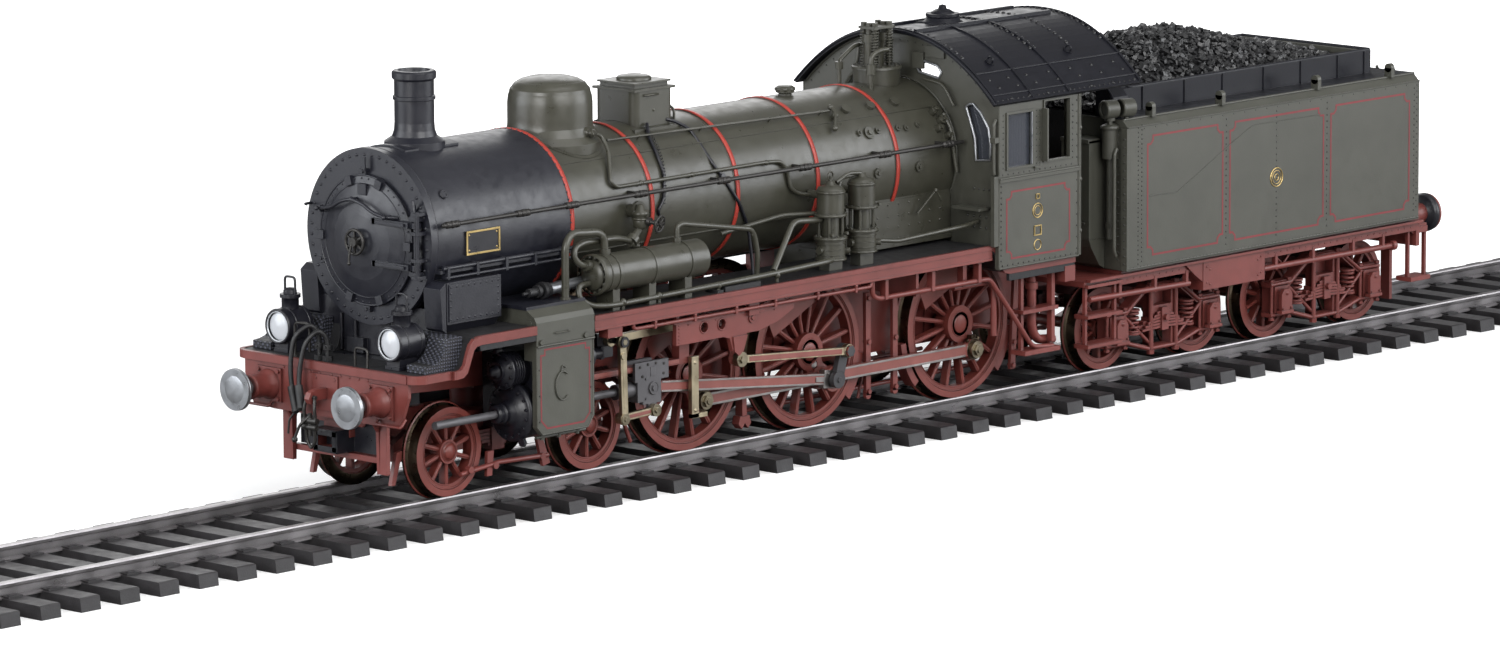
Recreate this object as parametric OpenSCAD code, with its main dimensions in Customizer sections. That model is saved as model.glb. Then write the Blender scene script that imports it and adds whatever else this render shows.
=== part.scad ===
// Tender steam locomotive, 4-6-0 with a bogie tender, gauge 45 mm (1:32 scale).
// +X points to the tender, -X to the smokebox door, +Y to the right-hand side, +Z up.
// z = 0 is the rail head. x = 0, y = 0 is under the middle coupled axle on the centreline.

/* [Wheels] */
// tread radius of the coupled wheels, mm
driver_r = 27.34; // [26:0.1:29]
// tread radius of the carrying wheels, mm
carry_r = 15.62; // [14:0.1:17]
// flange depth below the tread, mm
flange = 1.4; // [1:0.1:2]
// distance between wheel backs, mm
back_to_back = 40; // [39:0.1:41]
// wheel width over tyre, mm
wheel_w = 5.8; // [5:0.1:7]

/* [Axles] */
// leading bogie front axle, mm
bogie_front_x = -180.3; // [-184:0.1:-176]
// leading bogie rear axle, mm
bogie_rear_x = -111.56; // [-116:0.1:-108]
// front coupled axle, mm
driver_front_x = -62.5; // [-66:0.1:-60]
// rear coupled axle, mm
driver_rear_x = 80.63; // [76:0.1:84]
// first tender axle, mm
tender_axle_x = 160.8; // [158:0.1:164]
// axle spacing inside a tender bogie, mm
tender_bogie_base = 53.1; // [50:0.1:56]
// distance between the two tender bogie centres, mm
tender_bogie_gap = 95.3; // [90:0.1:98]

/* [Motion] */
// crank throw, mm
crank = 10.6; // [9.5:0.1:12]
// left crank angle at rest, degrees from +X towards +Z
left_angle = -64.5; // [-180:0.5:180]
// angle by which the right crank leads, degrees
quarter = 90; // [90:90:90]
// crosshead pin x on the left side at rest, mm
wrist_x = -90.7; // [-96:0.1:-86]
// radial running clearance of pins, mm
run = 0.07; // [0.03:0.01:0.1]

/* [Body] */
// boiler axis height, mm
boiler_z = 88.84; // [86:0.1:92]
// boiler barrel radius, mm
boiler_r = 27.1; // [25:0.1:29]
// smokebox radius, mm
smoke_r = 29.9; // [28:0.1:31]
// tender half width, mm
tender_hw = 47; // [44:0.5:49]

/* [Hidden] */
$fn = 48;
LEFT = -1;
RIGHT = 1;

// wheels and axles
back_y = back_to_back/2; // wheel back, off the centreline
axle_z = driver_r;
tyre_t = 2.4;
driver_axle_r = 2.6;
carry_axle_r = 2;
tender_x = [
  tender_axle_x, tender_axle_x + tender_bogie_base,
  tender_axle_x + tender_bogie_gap, tender_axle_x + tender_bogie_gap + tender_bogie_base
];
bogie_x = (bogie_front_x + bogie_rear_x)/2;
tender_pivot_x = [(tender_x[0] + tender_x[1])/2, (tender_x[2] + tender_x[3])/2];

// pin radii
crank_pin_r = 2;
return_pin_r = 1.2;
wrist_pin_r = 1.5;
union_pin_r = 0.9;
lever_pin_r = 1.1;
trunnion_r = 1.3;
piston_rod_r = 1.4;
pivot_r = 4; // bogie pivots
drawbar_pin_r = 2.5;
buffer_shank_r = 2.5;
hinge_r = 1;

// fixed places on the engine
cyl_y = 33.2; // cylinder axis, off the centreline
valve_z = 42.2;
frame_top = 46;
engine_rear = 122;
board_top = 58.4;
board_under = 56.6;
low_board_under = 47.6;
cab_floor = 49.6;
buffer_y = 27.35;
buffer_z = 37.5;
drawbar_x = 116;
smoke_rear = -122.4;
door_z = 87.7;
door_x = -192.2;
hinge_at = [-194, -25]; // [x, y]
chimney_x = -169.8;
flue_r = 4.8;
rail_z = 95.4; // handrail
filler_x = 315.2;
screw_x = [-31, 40.5];
boiler_bands = [smoke_rear, -81.7, -38.2, 3.4, 45.8]; // front edges
band_w = 1.6;

// motion: points are [x, z], angles run from +X towards +Z
return_r = 7.6;
return_lead = 70.2;
link_foot_rest = [-48.4, 32.2];
trunnion = [-47.5, 47.6];
lever_top = [-109.2, 46.3];
lever_foot = [-108.4, 19.0];
main_l = sqrt(pow(crank*cos(left_angle) - wrist_x, 2) + pow(crank*sin(left_angle), 2));

function angle_of(side) = side == LEFT ? left_angle : left_angle + quarter;
function polar(r, a) = [r*cos(a), r*sin(a)];
function crank_at(side) = [0, axle_z] + polar(crank, angle_of(side));
function return_at(side) = [0, axle_z] + polar(return_r, angle_of(side) + return_lead);
function wrist(side) = let (a = angle_of(side))
  [crank*cos(a) - sqrt(main_l*main_l - pow(crank*sin(a), 2)), axle_z];
function union_at(side) = wrist(side) - [0.6, 7.6];

foot_r = norm(trunnion - link_foot_rest);
eccentric_l = norm(return_at(LEFT) - link_foot_rest);

// the crossing of two circles that lies to the right of the line from a to b
function meet(a, a_r, b, b_r) =
  let (gap = norm(b - a),
       along = (a_r*a_r - b_r*b_r + gap*gap)/(2*gap),
       across = sqrt(max(0, a_r*a_r - along*along)),
       unit = (b - a)/gap)
  a + along*unit + across*[unit[1], -unit[0]];
function link_foot(side) = meet(trunnion, foot_r, return_at(side), eccentric_l);
function lean(from, to) = atan2(to[1] - from[1], to[0] - from[0]);
// lever angle away from its rest position
function swing(side) = asin((wrist(side)[0] - wrist(LEFT)[0])/(lever_top[1] - lever_foot[1]));

RED = [0.42, 0.14, 0.11];
GREEN = [0.24, 0.25, 0.21];
BLACK = [0.07, 0.07, 0.085];
STEEL = [0.55, 0.54, 0.52];
NICKEL = [0.66, 0.62, 0.52];
GLASS = [0.8, 0.85, 0.85, 0.35];
COAL = [0.03, 0.03, 0.03];

// ---- helpers ----
// plate with an [x, z] outline, from y0 to y1
module plate_y(y0, y1, outline) {
  translate([0, y1, 0]) rotate([90, 0, 0]) linear_extrude(y1 - y0) polygon(outline);
}
// plate with a [y, z] outline, from x0 to x1
module plate_x(x0, x1, outline) {
  translate([x0, 0, 0]) rotate([90, 0, 90]) linear_extrude(x1 - x0) polygon(outline);
}
// cylinders along each axis
module rod_x(x0, x1, r, y, z) {
  translate([x0, y, z]) rotate([0, 90, 0]) cylinder(h = x1 - x0, r = r);
}
module rod_y(y0, y1, r, x, z) {
  translate([x, y0, z]) rotate([-90, 0, 0]) cylinder(h = y1 - y0, r = r);
}
module rod_z(z0, z1, r, x, y) {
  translate([x, y, z0]) cylinder(h = z1 - z0, r = r);
}
// box between its low and high corners
module box(low, high) {
  translate(low) cube(high - low);
}
module both() {
  children();
  mirror([0, 1, 0]) children();
}
// For one side, inner and outer are distances off the centreline and at is [x, z].
// The quarter turn sets the start edge of the cylinder facing down.
module pin(side, inner, outer, r, at) {
  translate([at[0], min(side*inner, side*outer), at[1]])
    rotate([-90, 0, 0]) rotate([0, 0, 90]) cylinder(h = abs(outer - inner), r = r);
}
module block(side, x0, x1, inner, outer, z0, z1) {
  box([x0, min(side*inner, side*outer), z0], [x1, max(side*inner, side*outer), z1]);
}
// straight bar with a round eye at each end
module bar(side, from, to, inner, outer, height, from_r, to_r) {
  translate([from[0], min(side*inner, side*outer), from[1]])
    rotate([0, -lean(from, to), 0])
      translate([0, 0, -height/2]) cube([norm(to - from), abs(outer - inner), height]);
  pin(side, inner, outer, from_r, from);
  pin(side, inner, outer, to_r, to);
}

// ---- wheels ----
// tyre with flange, on the +Y side of the axle
module tyre_ring(r) {
  // [radius, distance from the wheel back]
  section = [
    [r - tyre_t, 0], [r + flange, 0], [r + flange, 0.9], [r + 0.1, 1.6], [r, 1.7],
    [r - 0.15, wheel_w], [r - tyre_t, wheel_w]
  ];
  rotate([-90, 0, 0]) translate([0, 0, back_y]) rotate_extrude($fn = 72) polygon(section);
}
module wheel_centre(r, spokes, hub_r) {
  spoke_w = 1.5;
  rotate([-90, 0, 0]) translate([0, 0, back_y + 0.8]) {
    difference() {
      cylinder(h = 4.4, r = r - tyre_t, $fn = 72);
      translate([0, 0, -1]) cylinder(h = 7, r = r - 4.0, $fn = 72);
    }
    cylinder(h = 4.9, r = hub_r);
  }
  for (i = [0:spokes - 1])
    rotate([0, 360/spokes*(i + 0.5), 0])
      translate([hub_r - 1, back_y + 1.5, -spoke_w/2])
        cube([r - 3.2 - hub_r + 1, 3, spoke_w]);
}
module carry_set(x) {
  end_y = back_y + wheel_w;
  translate([x, 0, carry_r]) {
    both() {
      tyre_ring(carry_r);
      wheel_centre(carry_r, spokes = 10, hub_r = 4.2);
    }
    rod_y(-end_y, end_y, carry_axle_r, 0, 0);
  }
}
// segment near the rim opposite the crank
module counterweight(side) {
  intersection() {
    pin(side, back_y + 1.3, back_y + 4.9, driver_r - 3.9, [0, 0]);
    rotate([0, -(angle_of(side) + 180), 0]) box([13.5, -30, -12], [30, 30, 12]);
  }
}
// crank on one side, about the axle; the driving axle also carries the return crank
module crank_side(side, driving) {
  angle = angle_of(side);
  crank_pin = polar(crank, angle);
  counterweight(side);
  difference() {
    union() {
      pin(side, back_y + 0.7, back_y + 7, 6.8, [0, 0]);
      rotate([0, -angle, 0]) block(side, 1, crank, back_y + 1.1, back_y + 6.8, -4.2, 4.2);
      pin(side, back_y + 1, back_y + 7, 4.6, crank_pin);
    }
    if (driving) pin(side, back_y + 5.6, back_y + 8, 1.6, crank_pin/2);
  }
  if (driving) {
    return_pin = polar(return_r, angle + return_lead);
    pin(side, back_y + 6, back_y + 16.8, crank_pin_r, crank_pin);
    bar(side, crank_pin, return_pin, back_y + 15.0, back_y + 17.0, 3.4, 2.9, 2.3);
    pin(side, back_y + 17, back_y + 19.6, return_pin_r, return_pin);
    pin(side, back_y + 19.4, back_y + 20.2, 2.0, return_pin);
  } else {
    pin(side, back_y + 6, back_y + 10, crank_pin_r, crank_pin);
    pin(side, back_y + 9.9, back_y + 11.2, 3, crank_pin);
  }
}
module driver_set(x, driving) {
  translate([x, 0, axle_z]) {
    both() {
      tyre_ring(driver_r);
      wheel_centre(driver_r, spokes = 16, hub_r = 6.2);
    }
    crank_side(LEFT, driving);
    crank_side(RIGHT, driving);
    rod_y(-back_y - 5, back_y + 5, driver_axle_r, 0, 0);
  }
}
module drivers_1() { color(RED) driver_set(driver_front_x, false); }
module drivers_2() { color(RED) driver_set(0, true); }
module drivers_3() { color(RED) driver_set(driver_rear_x, false); }
module bogie_wheels_1() { color(RED) carry_set(bogie_front_x); }
module bogie_wheels_2() { color(RED) carry_set(bogie_rear_x); }
module tender_wheels_1() { color(RED) carry_set(tender_x[0]); }
module tender_wheels_2() { color(RED) carry_set(tender_x[1]); }
module tender_wheels_3() { color(RED) carry_set(tender_x[2]); }
module tender_wheels_4() { color(RED) carry_set(tender_x[3]); }

// ---- rods ----
module side_rod(side) {
  mid = crank_at(side);
  difference() {
    for (ends = [[driver_front_x, 0], [0, driver_rear_x]])
      bar(side, mid + [ends[0], 0], mid + [ends[1], 0], back_y + 7.4, back_y + 9.6,
          4.4, 3.9, 3.9);
    for (x = [driver_front_x, 0, driver_rear_x])
      pin(side, back_y + 7, back_y + 10, crank_pin_r + run, mid + [x, 0]);
  }
}
module side_rod_l() { color(RED) side_rod(LEFT); }
module side_rod_r() { color(RED) side_rod(RIGHT); }

module main_rod(side) {
  difference() {
    bar(side, wrist(side), crank_at(side), back_y + 12.1, back_y + 14.3, 3.8, 2.9, 4.6);
    pin(side, back_y + 12, back_y + 15, wrist_pin_r + run, wrist(side));
    pin(side, back_y + 12, back_y + 15, 2.7, crank_at(side));
  }
}
module main_rod_l() { color(RED) main_rod(LEFT); }
module main_rod_r() { color(RED) main_rod(RIGHT); }

// crosshead with piston rod, piston and tail rod; the neck is hollow
module crosshead(side) {
  at = wrist(side);
  x = at[0];
  y = cyl_y;
  z = axle_z;
  difference() {
    union() {
      rod_x(x - 103.7, x - 7, piston_rod_r, side*y, z);
      rod_x(x - 49.3, x - 46.7, 7.8, side*y, z);
      rod_x(x - 16, x - 4.2, 2.7, side*y, z);
      block(side, x - 7.8, x - 4.2, y - 3.4, y + 3.4, z - 4.4, z + 4.4);
      block(side, x - 7.8, x + 4.6, y - 3.4, y - 1.7, z - 4.4, z + 9.6);
      block(side, x - 9, x + 7.8, y + 2.2, y + 3.4, z + 2.8, z + 9.6);
      block(side, x - 5.2, x + 4.0, y + 1.7, y + 3.4, z - 5.4, z + 4.4);
      block(side, x - 2.4, x + 1.6, y + 2.2, y + 3.4, z - 9.4, z);
    }
    pin(side, y - 4, y + 4, 1.55, at);
    rod_x(x - 12, x - 3, 1.5, side*y, z);
    pin(side, y + 2, y + 4, union_pin_r + run, union_at(side));
  }
  pin(side, y - 3.4, y + 3.8, wrist_pin_r, at);
  pin(side, y + 3.4, y + 3.8, 2.1, at);
  pin(side, y - 3.4, y - 3.0, 1.9, at);
}
module crosshead_l() { color(STEEL) crosshead(LEFT); }
module crosshead_r() { color(STEEL) crosshead(RIGHT); }

// disc in the driving crank, halfway between axle and crank pin
module crank_disc(side) {
  at = [0, axle_z] + polar(crank, angle_of(side))/2;
  pin(side, back_y + 5.75, back_y + 6.9, 1.4, at);
}
module crank_disc_l() { color(STEEL) crank_disc(LEFT); }
module crank_disc_r() { color(STEEL) crank_disc(RIGHT); }

// ring and bead inside the crosshead neck
module neck_ring(side) {
  rod_x(wrist(side)[0] - 11.2, wrist(side)[0] - 8.2, 1.3, side*cyl_y, axle_z);
}
module neck_ring_l() { color(STEEL) neck_ring(LEFT); }
module neck_ring_r() { color(STEEL) neck_ring(RIGHT); }
module neck_bead(side) {
  rod_x(wrist(side)[0] - 4.4, wrist(side)[0] - 3.3, 0.7, side*cyl_y, axle_z);
}
module neck_bead_l() { color(STEEL) neck_bead(LEFT); }
module neck_bead_r() { color(STEEL) neck_bead(RIGHT); }

// ---- valve gear ----
module eccentric_rod(side) {
  difference() {
    bar(side, link_foot(side), return_at(side), back_y + 17.3, back_y + 19.2, 2.6, 2.1, 2.5);
    pin(side, back_y + 17, back_y + 20, return_pin_r + run, return_at(side));
  }
}
module eccentric_rod_l() { color(NICKEL) eccentric_rod(LEFT); }
module eccentric_rod_r() { color(NICKEL) eccentric_rod(RIGHT); }

// slotted link hung on a trunnion in the motion bracket
module expansion_link(side) {
  inner = back_y + 15;
  outer = back_y + 16.8;
  tilt = lean(trunnion, link_foot(side)) + 90;
  translate([trunnion[0], 0, trunnion[1]]) rotate([0, -tilt, 0]) difference() {
    union() {
      block(side, -2.3, 2.3, inner, outer, -8, 6.8);
      block(side, -1.5, 1.5, inner, outer, -foot_r, -7);
      pin(side, inner, outer, 2.1, [0, -foot_r]);
      pin(side, back_y + 16.7, back_y + 22, trunnion_r, [0, 0]);
    }
    block(side, -0.9, 0.9, back_y + 14, back_y + 16.2, -6, 5);
  }
}
module expansion_link_l() { color(STEEL) expansion_link(LEFT); }
module expansion_link_r() { color(STEEL) expansion_link(RIGHT); }

// lever turned about its top pin
module combination_lever(side) {
  top = [lever_top[0], 0, lever_top[1]];
  translate(top) rotate([0, -swing(side), 0]) translate(-top) difference() {
    union() {
      bar(side, lever_top, lever_foot, back_y + 18.8, back_y + 20.2, 3.0, 2.3, 2.2);
      pin(side, back_y + 20.1, back_y + 20.7, 1.3, lever_top - [0, 5]);
    }
    pin(side, back_y + 18, back_y + 21, lever_pin_r + run, lever_top);
    pin(side, back_y + 18, back_y + 21, union_pin_r, lever_foot);
  }
}
module combination_lever_l() { color(NICKEL) combination_lever(LEFT); }
module combination_lever_r() { color(NICKEL) combination_lever(RIGHT); }

module union_link(side) {
  rear = union_at(side);
  front = [rear[0] - 17.1, lever_foot[1]];
  difference() {
    bar(side, front, rear, back_y + 16.9, back_y + 18.4, 2.4, 2.0, 2.2);
    pin(side, back_y + 16, back_y + 19, union_pin_r, front);
  }
  pin(side, back_y + 15.3, back_y + 17, union_pin_r, rear);
}
module union_link_l() { color(NICKEL) union_link(LEFT); }
module union_link_r() { color(NICKEL) union_link(RIGHT); }

module radius_rod(side) {
  difference() {
    bar(side, lever_top, trunnion - [4, 0], back_y + 12.6, back_y + 14.6, 2.6, 2.3, 1.8);
    pin(side, back_y + 12, back_y + 15, lever_pin_r + run, lever_top);
  }
}
module radius_rod_l() { color(NICKEL) radius_rod(LEFT); }
module radius_rod_r() { color(NICKEL) radius_rod(RIGHT); }

// ---- engine frame ----
// [x, z] side plate
frame_side = [
  [-212, 31], [-212, 46], [122, 46], [122, 26], [96, 20], [-80, 20], [-92, 33],
  [-130, 33], [-196, 36], [-204, 31]
];
// [y, z] buffer beam
front_beam = [
  [-40, 46], [40, 46], [40, 40], [36, 30], [26, 29], [-26, 29], [-36, 30], [-40, 40]
];
// [x, z] nose of the coupling hook
hook_nose = [
  [-219, 39.4], [-221.6, 38.6], [-222.6, 36.4], [-221.4, 34.6], [-219.8, 35.6], [-219, 35.6]
];
// running board brackets: [x, outer y, top z]
board_brackets = [
  [-30, 39.9, board_under], [40, 42, board_under], [113, 40.5, low_board_under]
];
module frame() color(RED) difference() {
  union() {
    both() {
      plate_y(12.5, 15.5, frame_side);
      // guard irons
      box([-209.6, 21, 11.3], [-208.0, 25.4, 32]);
      box([-212, 21, 30], [-206, 25.4, 33]);
      for (b = board_brackets) box([b[0], 15.4, 44], [b[0] + 1.4, b[1], b[2]]);
      // buffer stocks
      rod_x(-215.2, -213.3, 5.2, buffer_y, buffer_z);
      rod_x(-224, -215, 3.9, buffer_y, buffer_z);
    }
    // stretchers
    for (x = [-196, -118, -92, -30, 40, 112]) box([x, -12.6, 36], [x + 3, 12.6, frame_top]);
    // bogie centre and drawbar castings
    box([bogie_x - 9, -12.6, 33], [bogie_x + 9, 12.6, 37]);
    box([110, -12.6, 28], [engine_rear, 12.6, 33]);
    plate_x(-213.4, -212, front_beam);
    // coupling hook
    box([-219, -1.2, 35.6], [-213.3, 1.2, 39.4]);
    plate_y(-1.2, 1.2, hook_nose);
    // bosses for the transport and display screws
    for (x = screw_x) rod_z(22, frame_top, 4, x, 0);
    // lower coupler pocket
    box([-214, -5.6, 17.2], [-205, 5.6, 24.6]);
    box([-208.4, -6.4, 22], [-205, 6.4, 33]);
  }
  for (x = [driver_front_x, 0, driver_rear_x]) rod_y(-20, 20, driver_axle_r + run, x, axle_z);
  for (x = screw_x) rod_z(21, 34, 1.65, x, 0);
  rod_z(30, 40, pivot_r + run, bogie_x, 0);
  rod_z(20, 40, drawbar_pin_r, drawbar_x, 0);
  both() rod_x(-225, -212, buffer_shank_r, buffer_y, buffer_z);
  box([-215, -3.6, 19], [-209.4, 3.6, 22.8]);
}

// [x, z] board edge: straight part, rear slope and cab part, then back below to the front slope
board_side = [
  [-184.5, 58.4], [76, 58.4], [79, 57.6], [83, 51], [86, 49.6], [122, 49.6],
  [122, 47.6], [85, 47.6], [81, 49.2], [77, 56], [75.5, 56.6], [-185.5, 56.6],
  [-188, 55.4], [-190.8, 48], [-193, 46.2], [-196, 46], [-196, 47.6], [-194, 47.8],
  [-192.4, 49], [-189.6, 56.4], [-187.6, 58]
];
// [x, z] valances
valance_rear = [[-129, 56.6], [75.5, 56.6], [75.5, 53.4], [-129, 53.4]];
valance_front = [[-185.5, 56.6], [-158, 56.6], [-158, 53.4], [-184.5, 53.4]];
// [x, z] tread-plate step beside the smokebox
front_step = [
  [-196, 47.5], [-207, 47.7], [-206.4, 50.4], [-199.6, 51], [-197.4, 53], [-196.4, 58.5],
  [-190, 58.5], [-190.6, 56.6], [-193, 49]
];
module running_board() color(BLACK) {
  both() {
    difference() {
      plate_y(16, 46, board_side);
      box([-158, 20, 50], [-129, 50, 62]);
      box([78, 10, 40], [124, 20, 60]);
      box([50, 15, 40], [112.4, 28.4, 56.59]);
    }
    plate_y(44.6, 46, valance_rear);
    plate_y(44.6, 46, valance_front);
    box([86, 44.6, 44.6], [engine_rear, 46, low_board_under]);
    plate_y(33.6, 42, front_step);
    // rounded ends of the front platform
    box([-209, 39.9, frame_top], [-196, 44.4, 47.6]);
    rod_z(frame_top, 47.6, 4.4, -209, 40);
  }
  // front platform
  box([-213.4, -40, frame_top], [-196, 40, 47.6]);
}

module cylinders() color(BLACK) both() {
  difference() {
    union() {
      rod_x(-156.6, -130.8, 9.8, cyl_y, axle_z);
      rod_x(-157.8, -156.5, 9.2, cyl_y, axle_z);
      rod_x(-165, -157.7, 3.2, cyl_y, axle_z);
      rod_x(-130.9, -129.9, 9.0, cyl_y, axle_z);
      rod_x(-130.4, -124.5, 3.4, cyl_y, axle_z);
      // steam chest
      rod_x(-161.6, -128, 6.0, cyl_y, valve_z);
      rod_x(-164.8, -161.5, 3.4, cyl_y, valve_z);
      rod_x(-128.1, -120, 4.4, cyl_y, valve_z);
      box([-153.6, 15.6, 20], [-131.8, cyl_y, 46]);
      box([-153.6, 15.6, 33], [-131.8, cyl_y + 7, 45]);
      // bolt heads on the front cover
      for (i = [0:7])
        rod_x(-158.3, -157.7, 0.7, cyl_y + 7.6*cos(45*i + 22), axle_z + 7.6*sin(45*i + 22));
    }
    rod_x(-155.9, -131.3, 7.9, cyl_y, axle_z);
    rod_x(-170, -120, piston_rod_r + run, cyl_y, axle_z);
  }
  // valve spindle guide
  rod_x(-120.1, -114, 2.0, cyl_y, valve_z);
  difference() {
    box([-114.2, cyl_y - 2.2, 40], [-106.4, cyl_y - 0.8, 48.8]);
    rod_y(30, 36, lever_pin_r, lever_top[0], lever_top[1]);
  }
  box([-114.2, cyl_y - 2.2, 40], [-112.6, cyl_y + 1, 44.4]);
  rod_y(cyl_y - 2.2, cyl_y + 7.4, lever_pin_r, lever_top[0], lever_top[1]);
  rod_y(cyl_y + 7.2, cyl_y + 8.0, 1.9, lever_top[0], lever_top[1]);
}

// [x, z] side and [y, z] top of a casing
casing_side = [
  [-157.5, 58], [-129.5, 58], [-129.5, 24], [-132.5, 20.2], [-154.8, 20.2], [-157.5, 23]
];
casing_top = [[45.6, 58], [45.6, 60], [40, 63.8], [22, 63.8], [22, 59]];
module cylinder_casings() color(GREEN) both() difference() {
  union() {
    plate_y(43.6, 45.6, casing_side);
    box([-157.5, 22, 58], [-129.5, 45.6, 59.2]);
    plate_x(-157.5, -129.5, casing_top);
    // front end wall
    box([-157.5, 39.8, 46], [-156.9, 44, 58.1]);
  }
  box([-156.5, 20, 50], [-130.5, 38, 62.6]);
}

// [x, z] motion bracket
motion_bracket = [
  [-86, 49.8], [-26, 49.8], [-26, 48.2], [-34, 44.6], [-44, 42.4], [-50, 42.4], [-52, 40],
  [-54, 36.8], [-57.4, 36.8], [-58.8, 41.4], [-62, 42.4], [-86, 42.2]
];
module slide_bars() color(RED) both() {
  // single bar above the crosshead, from the cylinder cover to a hanger on the bracket
  box([-129.8, cyl_y - 1.6, 33.6], [-71, cyl_y + 2.0, 35.6]);
  box([-129.8, cyl_y - 1.6, 31.4], [-128.2, cyl_y + 2.0, 35.6]);
  box([-76, cyl_y - 1.6, 35.5], [-71, cyl_y + 2.0, 43.6]);
  box([-76, cyl_y + 1.9, 42.2], [-71, 41.7, 43.6]);
  // stirrup outside the main rod
  box([-71.6, cyl_y + 1.9, 33.6], [-68.4, cyl_y + 3.7, 35.6]);
  box([-71.6, cyl_y + 2.4, 15.2], [-68.4, cyl_y + 3.7, 34]);
  box([-71.6, cyl_y + 2.4, 14], [-64, cyl_y + 3.7, 15.3]);
  // bracket with two lightening holes and the trunnion bearing
  difference() {
    plate_y(41.6, 43.4, motion_bracket);
    rod_y(41, 44, 1.9, -72, 47.0);
    rod_y(41, 44, 1.9, -63, 47.2);
    rod_y(41, 44, trunnion_r + run, trunnion[0], trunnion[1]);
  }
  // shelf and legs up to the running board
  difference() {
    box([-87, 28.4, 49.7], [-25, 43.4, 51.3]);
    box([-70, 28, 49], [-26, 40, 52]);
  }
  box([-86, 28.4, 51.2], [-84.4, 43.4, board_under]);
  box([-28, 40, 51.2], [-26.4, 43.4, board_under]);
}

// ---- boiler ----
module boiler() color(GREEN) difference() {
  union() {
    rod_x(smoke_rear, 78, boiler_r, 0, boiler_z);
    box([22, -24.5, 60], [78, 24.5, 80]);
    for (x = boiler_bands) rod_x(x, x + band_w, boiler_r + 0.45, 0, boiler_z);
    box([smoke_rear, -12, 59], [-110, 12, 66]);
    // lower casing between the frame and the barrel
    box([26, -14.5, 46.1], [76, 14.5, 61]);
    // washout plugs
    for (side = [LEFT, RIGHT]) for (x = [30, 43, 56])
      translate([x, 0, boiler_z]) rotate([side*38, 0, 0])
        translate([0, 0, 26]) cylinder(h = 2.4, r = 1.8);
  }
  rod_x(-121.4, 77, boiler_r - 2, 0, boiler_z);
  box([24, -22.5, 62], [76, 22.5, 82]);
}
// cutters that seat fittings on the barrel and clear a band
module barrel_cut() {
  rod_x(-200, 100, boiler_r, 0, boiler_z);
}
module band_cut(x0, x1) {
  rod_x(x0, x1, boiler_r + 0.6, 0, boiler_z);
}

module smokebox() color(BLACK) {
  difference() {
    union() {
      rod_x(-189.2, smoke_rear, smoke_r, 0, boiler_z);
      rod_x(-192.1, -189, smoke_r + 0.6, 0, boiler_z);
      // saddle down to the frame
      box([-184, -15.5, 46.1], [-128, 15.5, 64]);
      // lower side ledges
      both() box([-189, 26, 78.6], [-123, 31.4, 79.8]);
      // side chests at the front
      both() difference() {
        box([-189, 24, 61.5], [-163, 34.4, 76]);
        rod_x(-190, -160, smoke_r - 0.5, 0, boiler_z);
      }
      // door hinge lugs
      for (z = [77.4, 96.8]) box([-195.4, -26.6, z], [-192, -23.4, z + 2]);
    }
    rod_x(-188, -123.6, smoke_r - 1.5, 0, boiler_z);
    rod_x(-193, -187, 20.6, 0, door_z);
    rod_z(70, 110, hinge_r, hinge_at[0], hinge_at[1]);
    rod_z(110, 130, flue_r, chimney_x, 0);
  }
  rod_z(77.4, 98.8, hinge_r, hinge_at[0], hinge_at[1]);
}

// [radius, height from the seat] dished door
door_section = [
  [0, 0], [22.5, 0], [22.5, 1.2], [20.5, 1.6], [17.6, 2.4], [13.5, 3.4], [9, 4.1],
  [4.5, 4.5], [0, 4.6]
];
spindle_r = 1.2;
module smokebox_door() color(BLACK) {
  translate([door_x, 0, door_z]) rotate([0, -90, 0]) difference() {
    rotate_extrude($fn = 72) polygon(door_section);
    translate([0, 0, -1]) cylinder(h = 10, r = spindle_r + run);
  }
  // strap hinges
  for (z = [79.8, 94.4]) difference() {
    union() {
      box([-196.6, -23.4, z], [-193.2, -6, z + 2.0]);
      rod_z(z, z + 2.0, 1.7, hinge_at[0], hinge_at[1]);
      box([-195.4, -25, z], [-193.0, -21, z + 2.0]);
    }
    rod_z(z - 1, z + 3, hinge_r + run, hinge_at[0], hinge_at[1]);
  }
  // locking dogs
  for (a = [20, 90, 160, 200, 270, 340])
    translate([door_x, 0, door_z]) rotate([a, 0, 0])
      translate([-2.8, -1.5, 19.6]) cube([2.6, 3, 3.2]);
  // lamp bracket
  box([-195.4, -2, 103.6], [-194.2, 2, 107.4]);
}
module door_wheel() color(STEEL) translate([-196.8, 0, door_z]) rotate([0, -90, 0]) {
  rim_r = 4.2;
  spoke_w = 0.7;
  translate([0, 0, 2.2]) rotate_extrude($fn = 48)
    translate([rim_r, 0]) circle(r = 0.5, $fn = 16);
  for (a = [0, 60, 120])
    rotate([0, 0, a]) translate([-rim_r, -spoke_w/2, 1.85]) cube([2*rim_r, spoke_w, spoke_w]);
  translate([0, 0, -4]) cylinder(h = 6.8, r = spindle_r);
  translate([0, 0, 0.05]) cylinder(h = 3.4, r = 1.7);
}

// [radius, z]
chimney_section = [
  [4.8, 110], [10.5, 110], [10.5, 119.6], [7.8, 121.4], [7.1, 123.4], [6.9, 126],
  [6.9, 133.8], [7.4, 134], [7.4, 135.2], [6.9, 135.4], [6.9, 140.6], [7.7, 141.4],
  [7.7, 143.4], [7.1, 144], [5.6, 144], [4.8, 142]
];
module chimney() color(BLACK) difference() {
  union() {
    translate([chimney_x, 0, 0]) rotate_extrude($fn = 60) polygon(chimney_section);
    // curved base plate
    difference() {
      rod_x(-182.6, -157, smoke_r + 0.7, 0, boiler_z);
      both() box([-200, 8.5, 0], [-100, 60, 200]);
      box([-200, -60, 0], [-100, 60, 110]);
      rod_z(100, 140, flue_r, chimney_x, 0);
    }
  }
  rod_x(-200, -100, smoke_r, 0, boiler_z);
}

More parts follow.
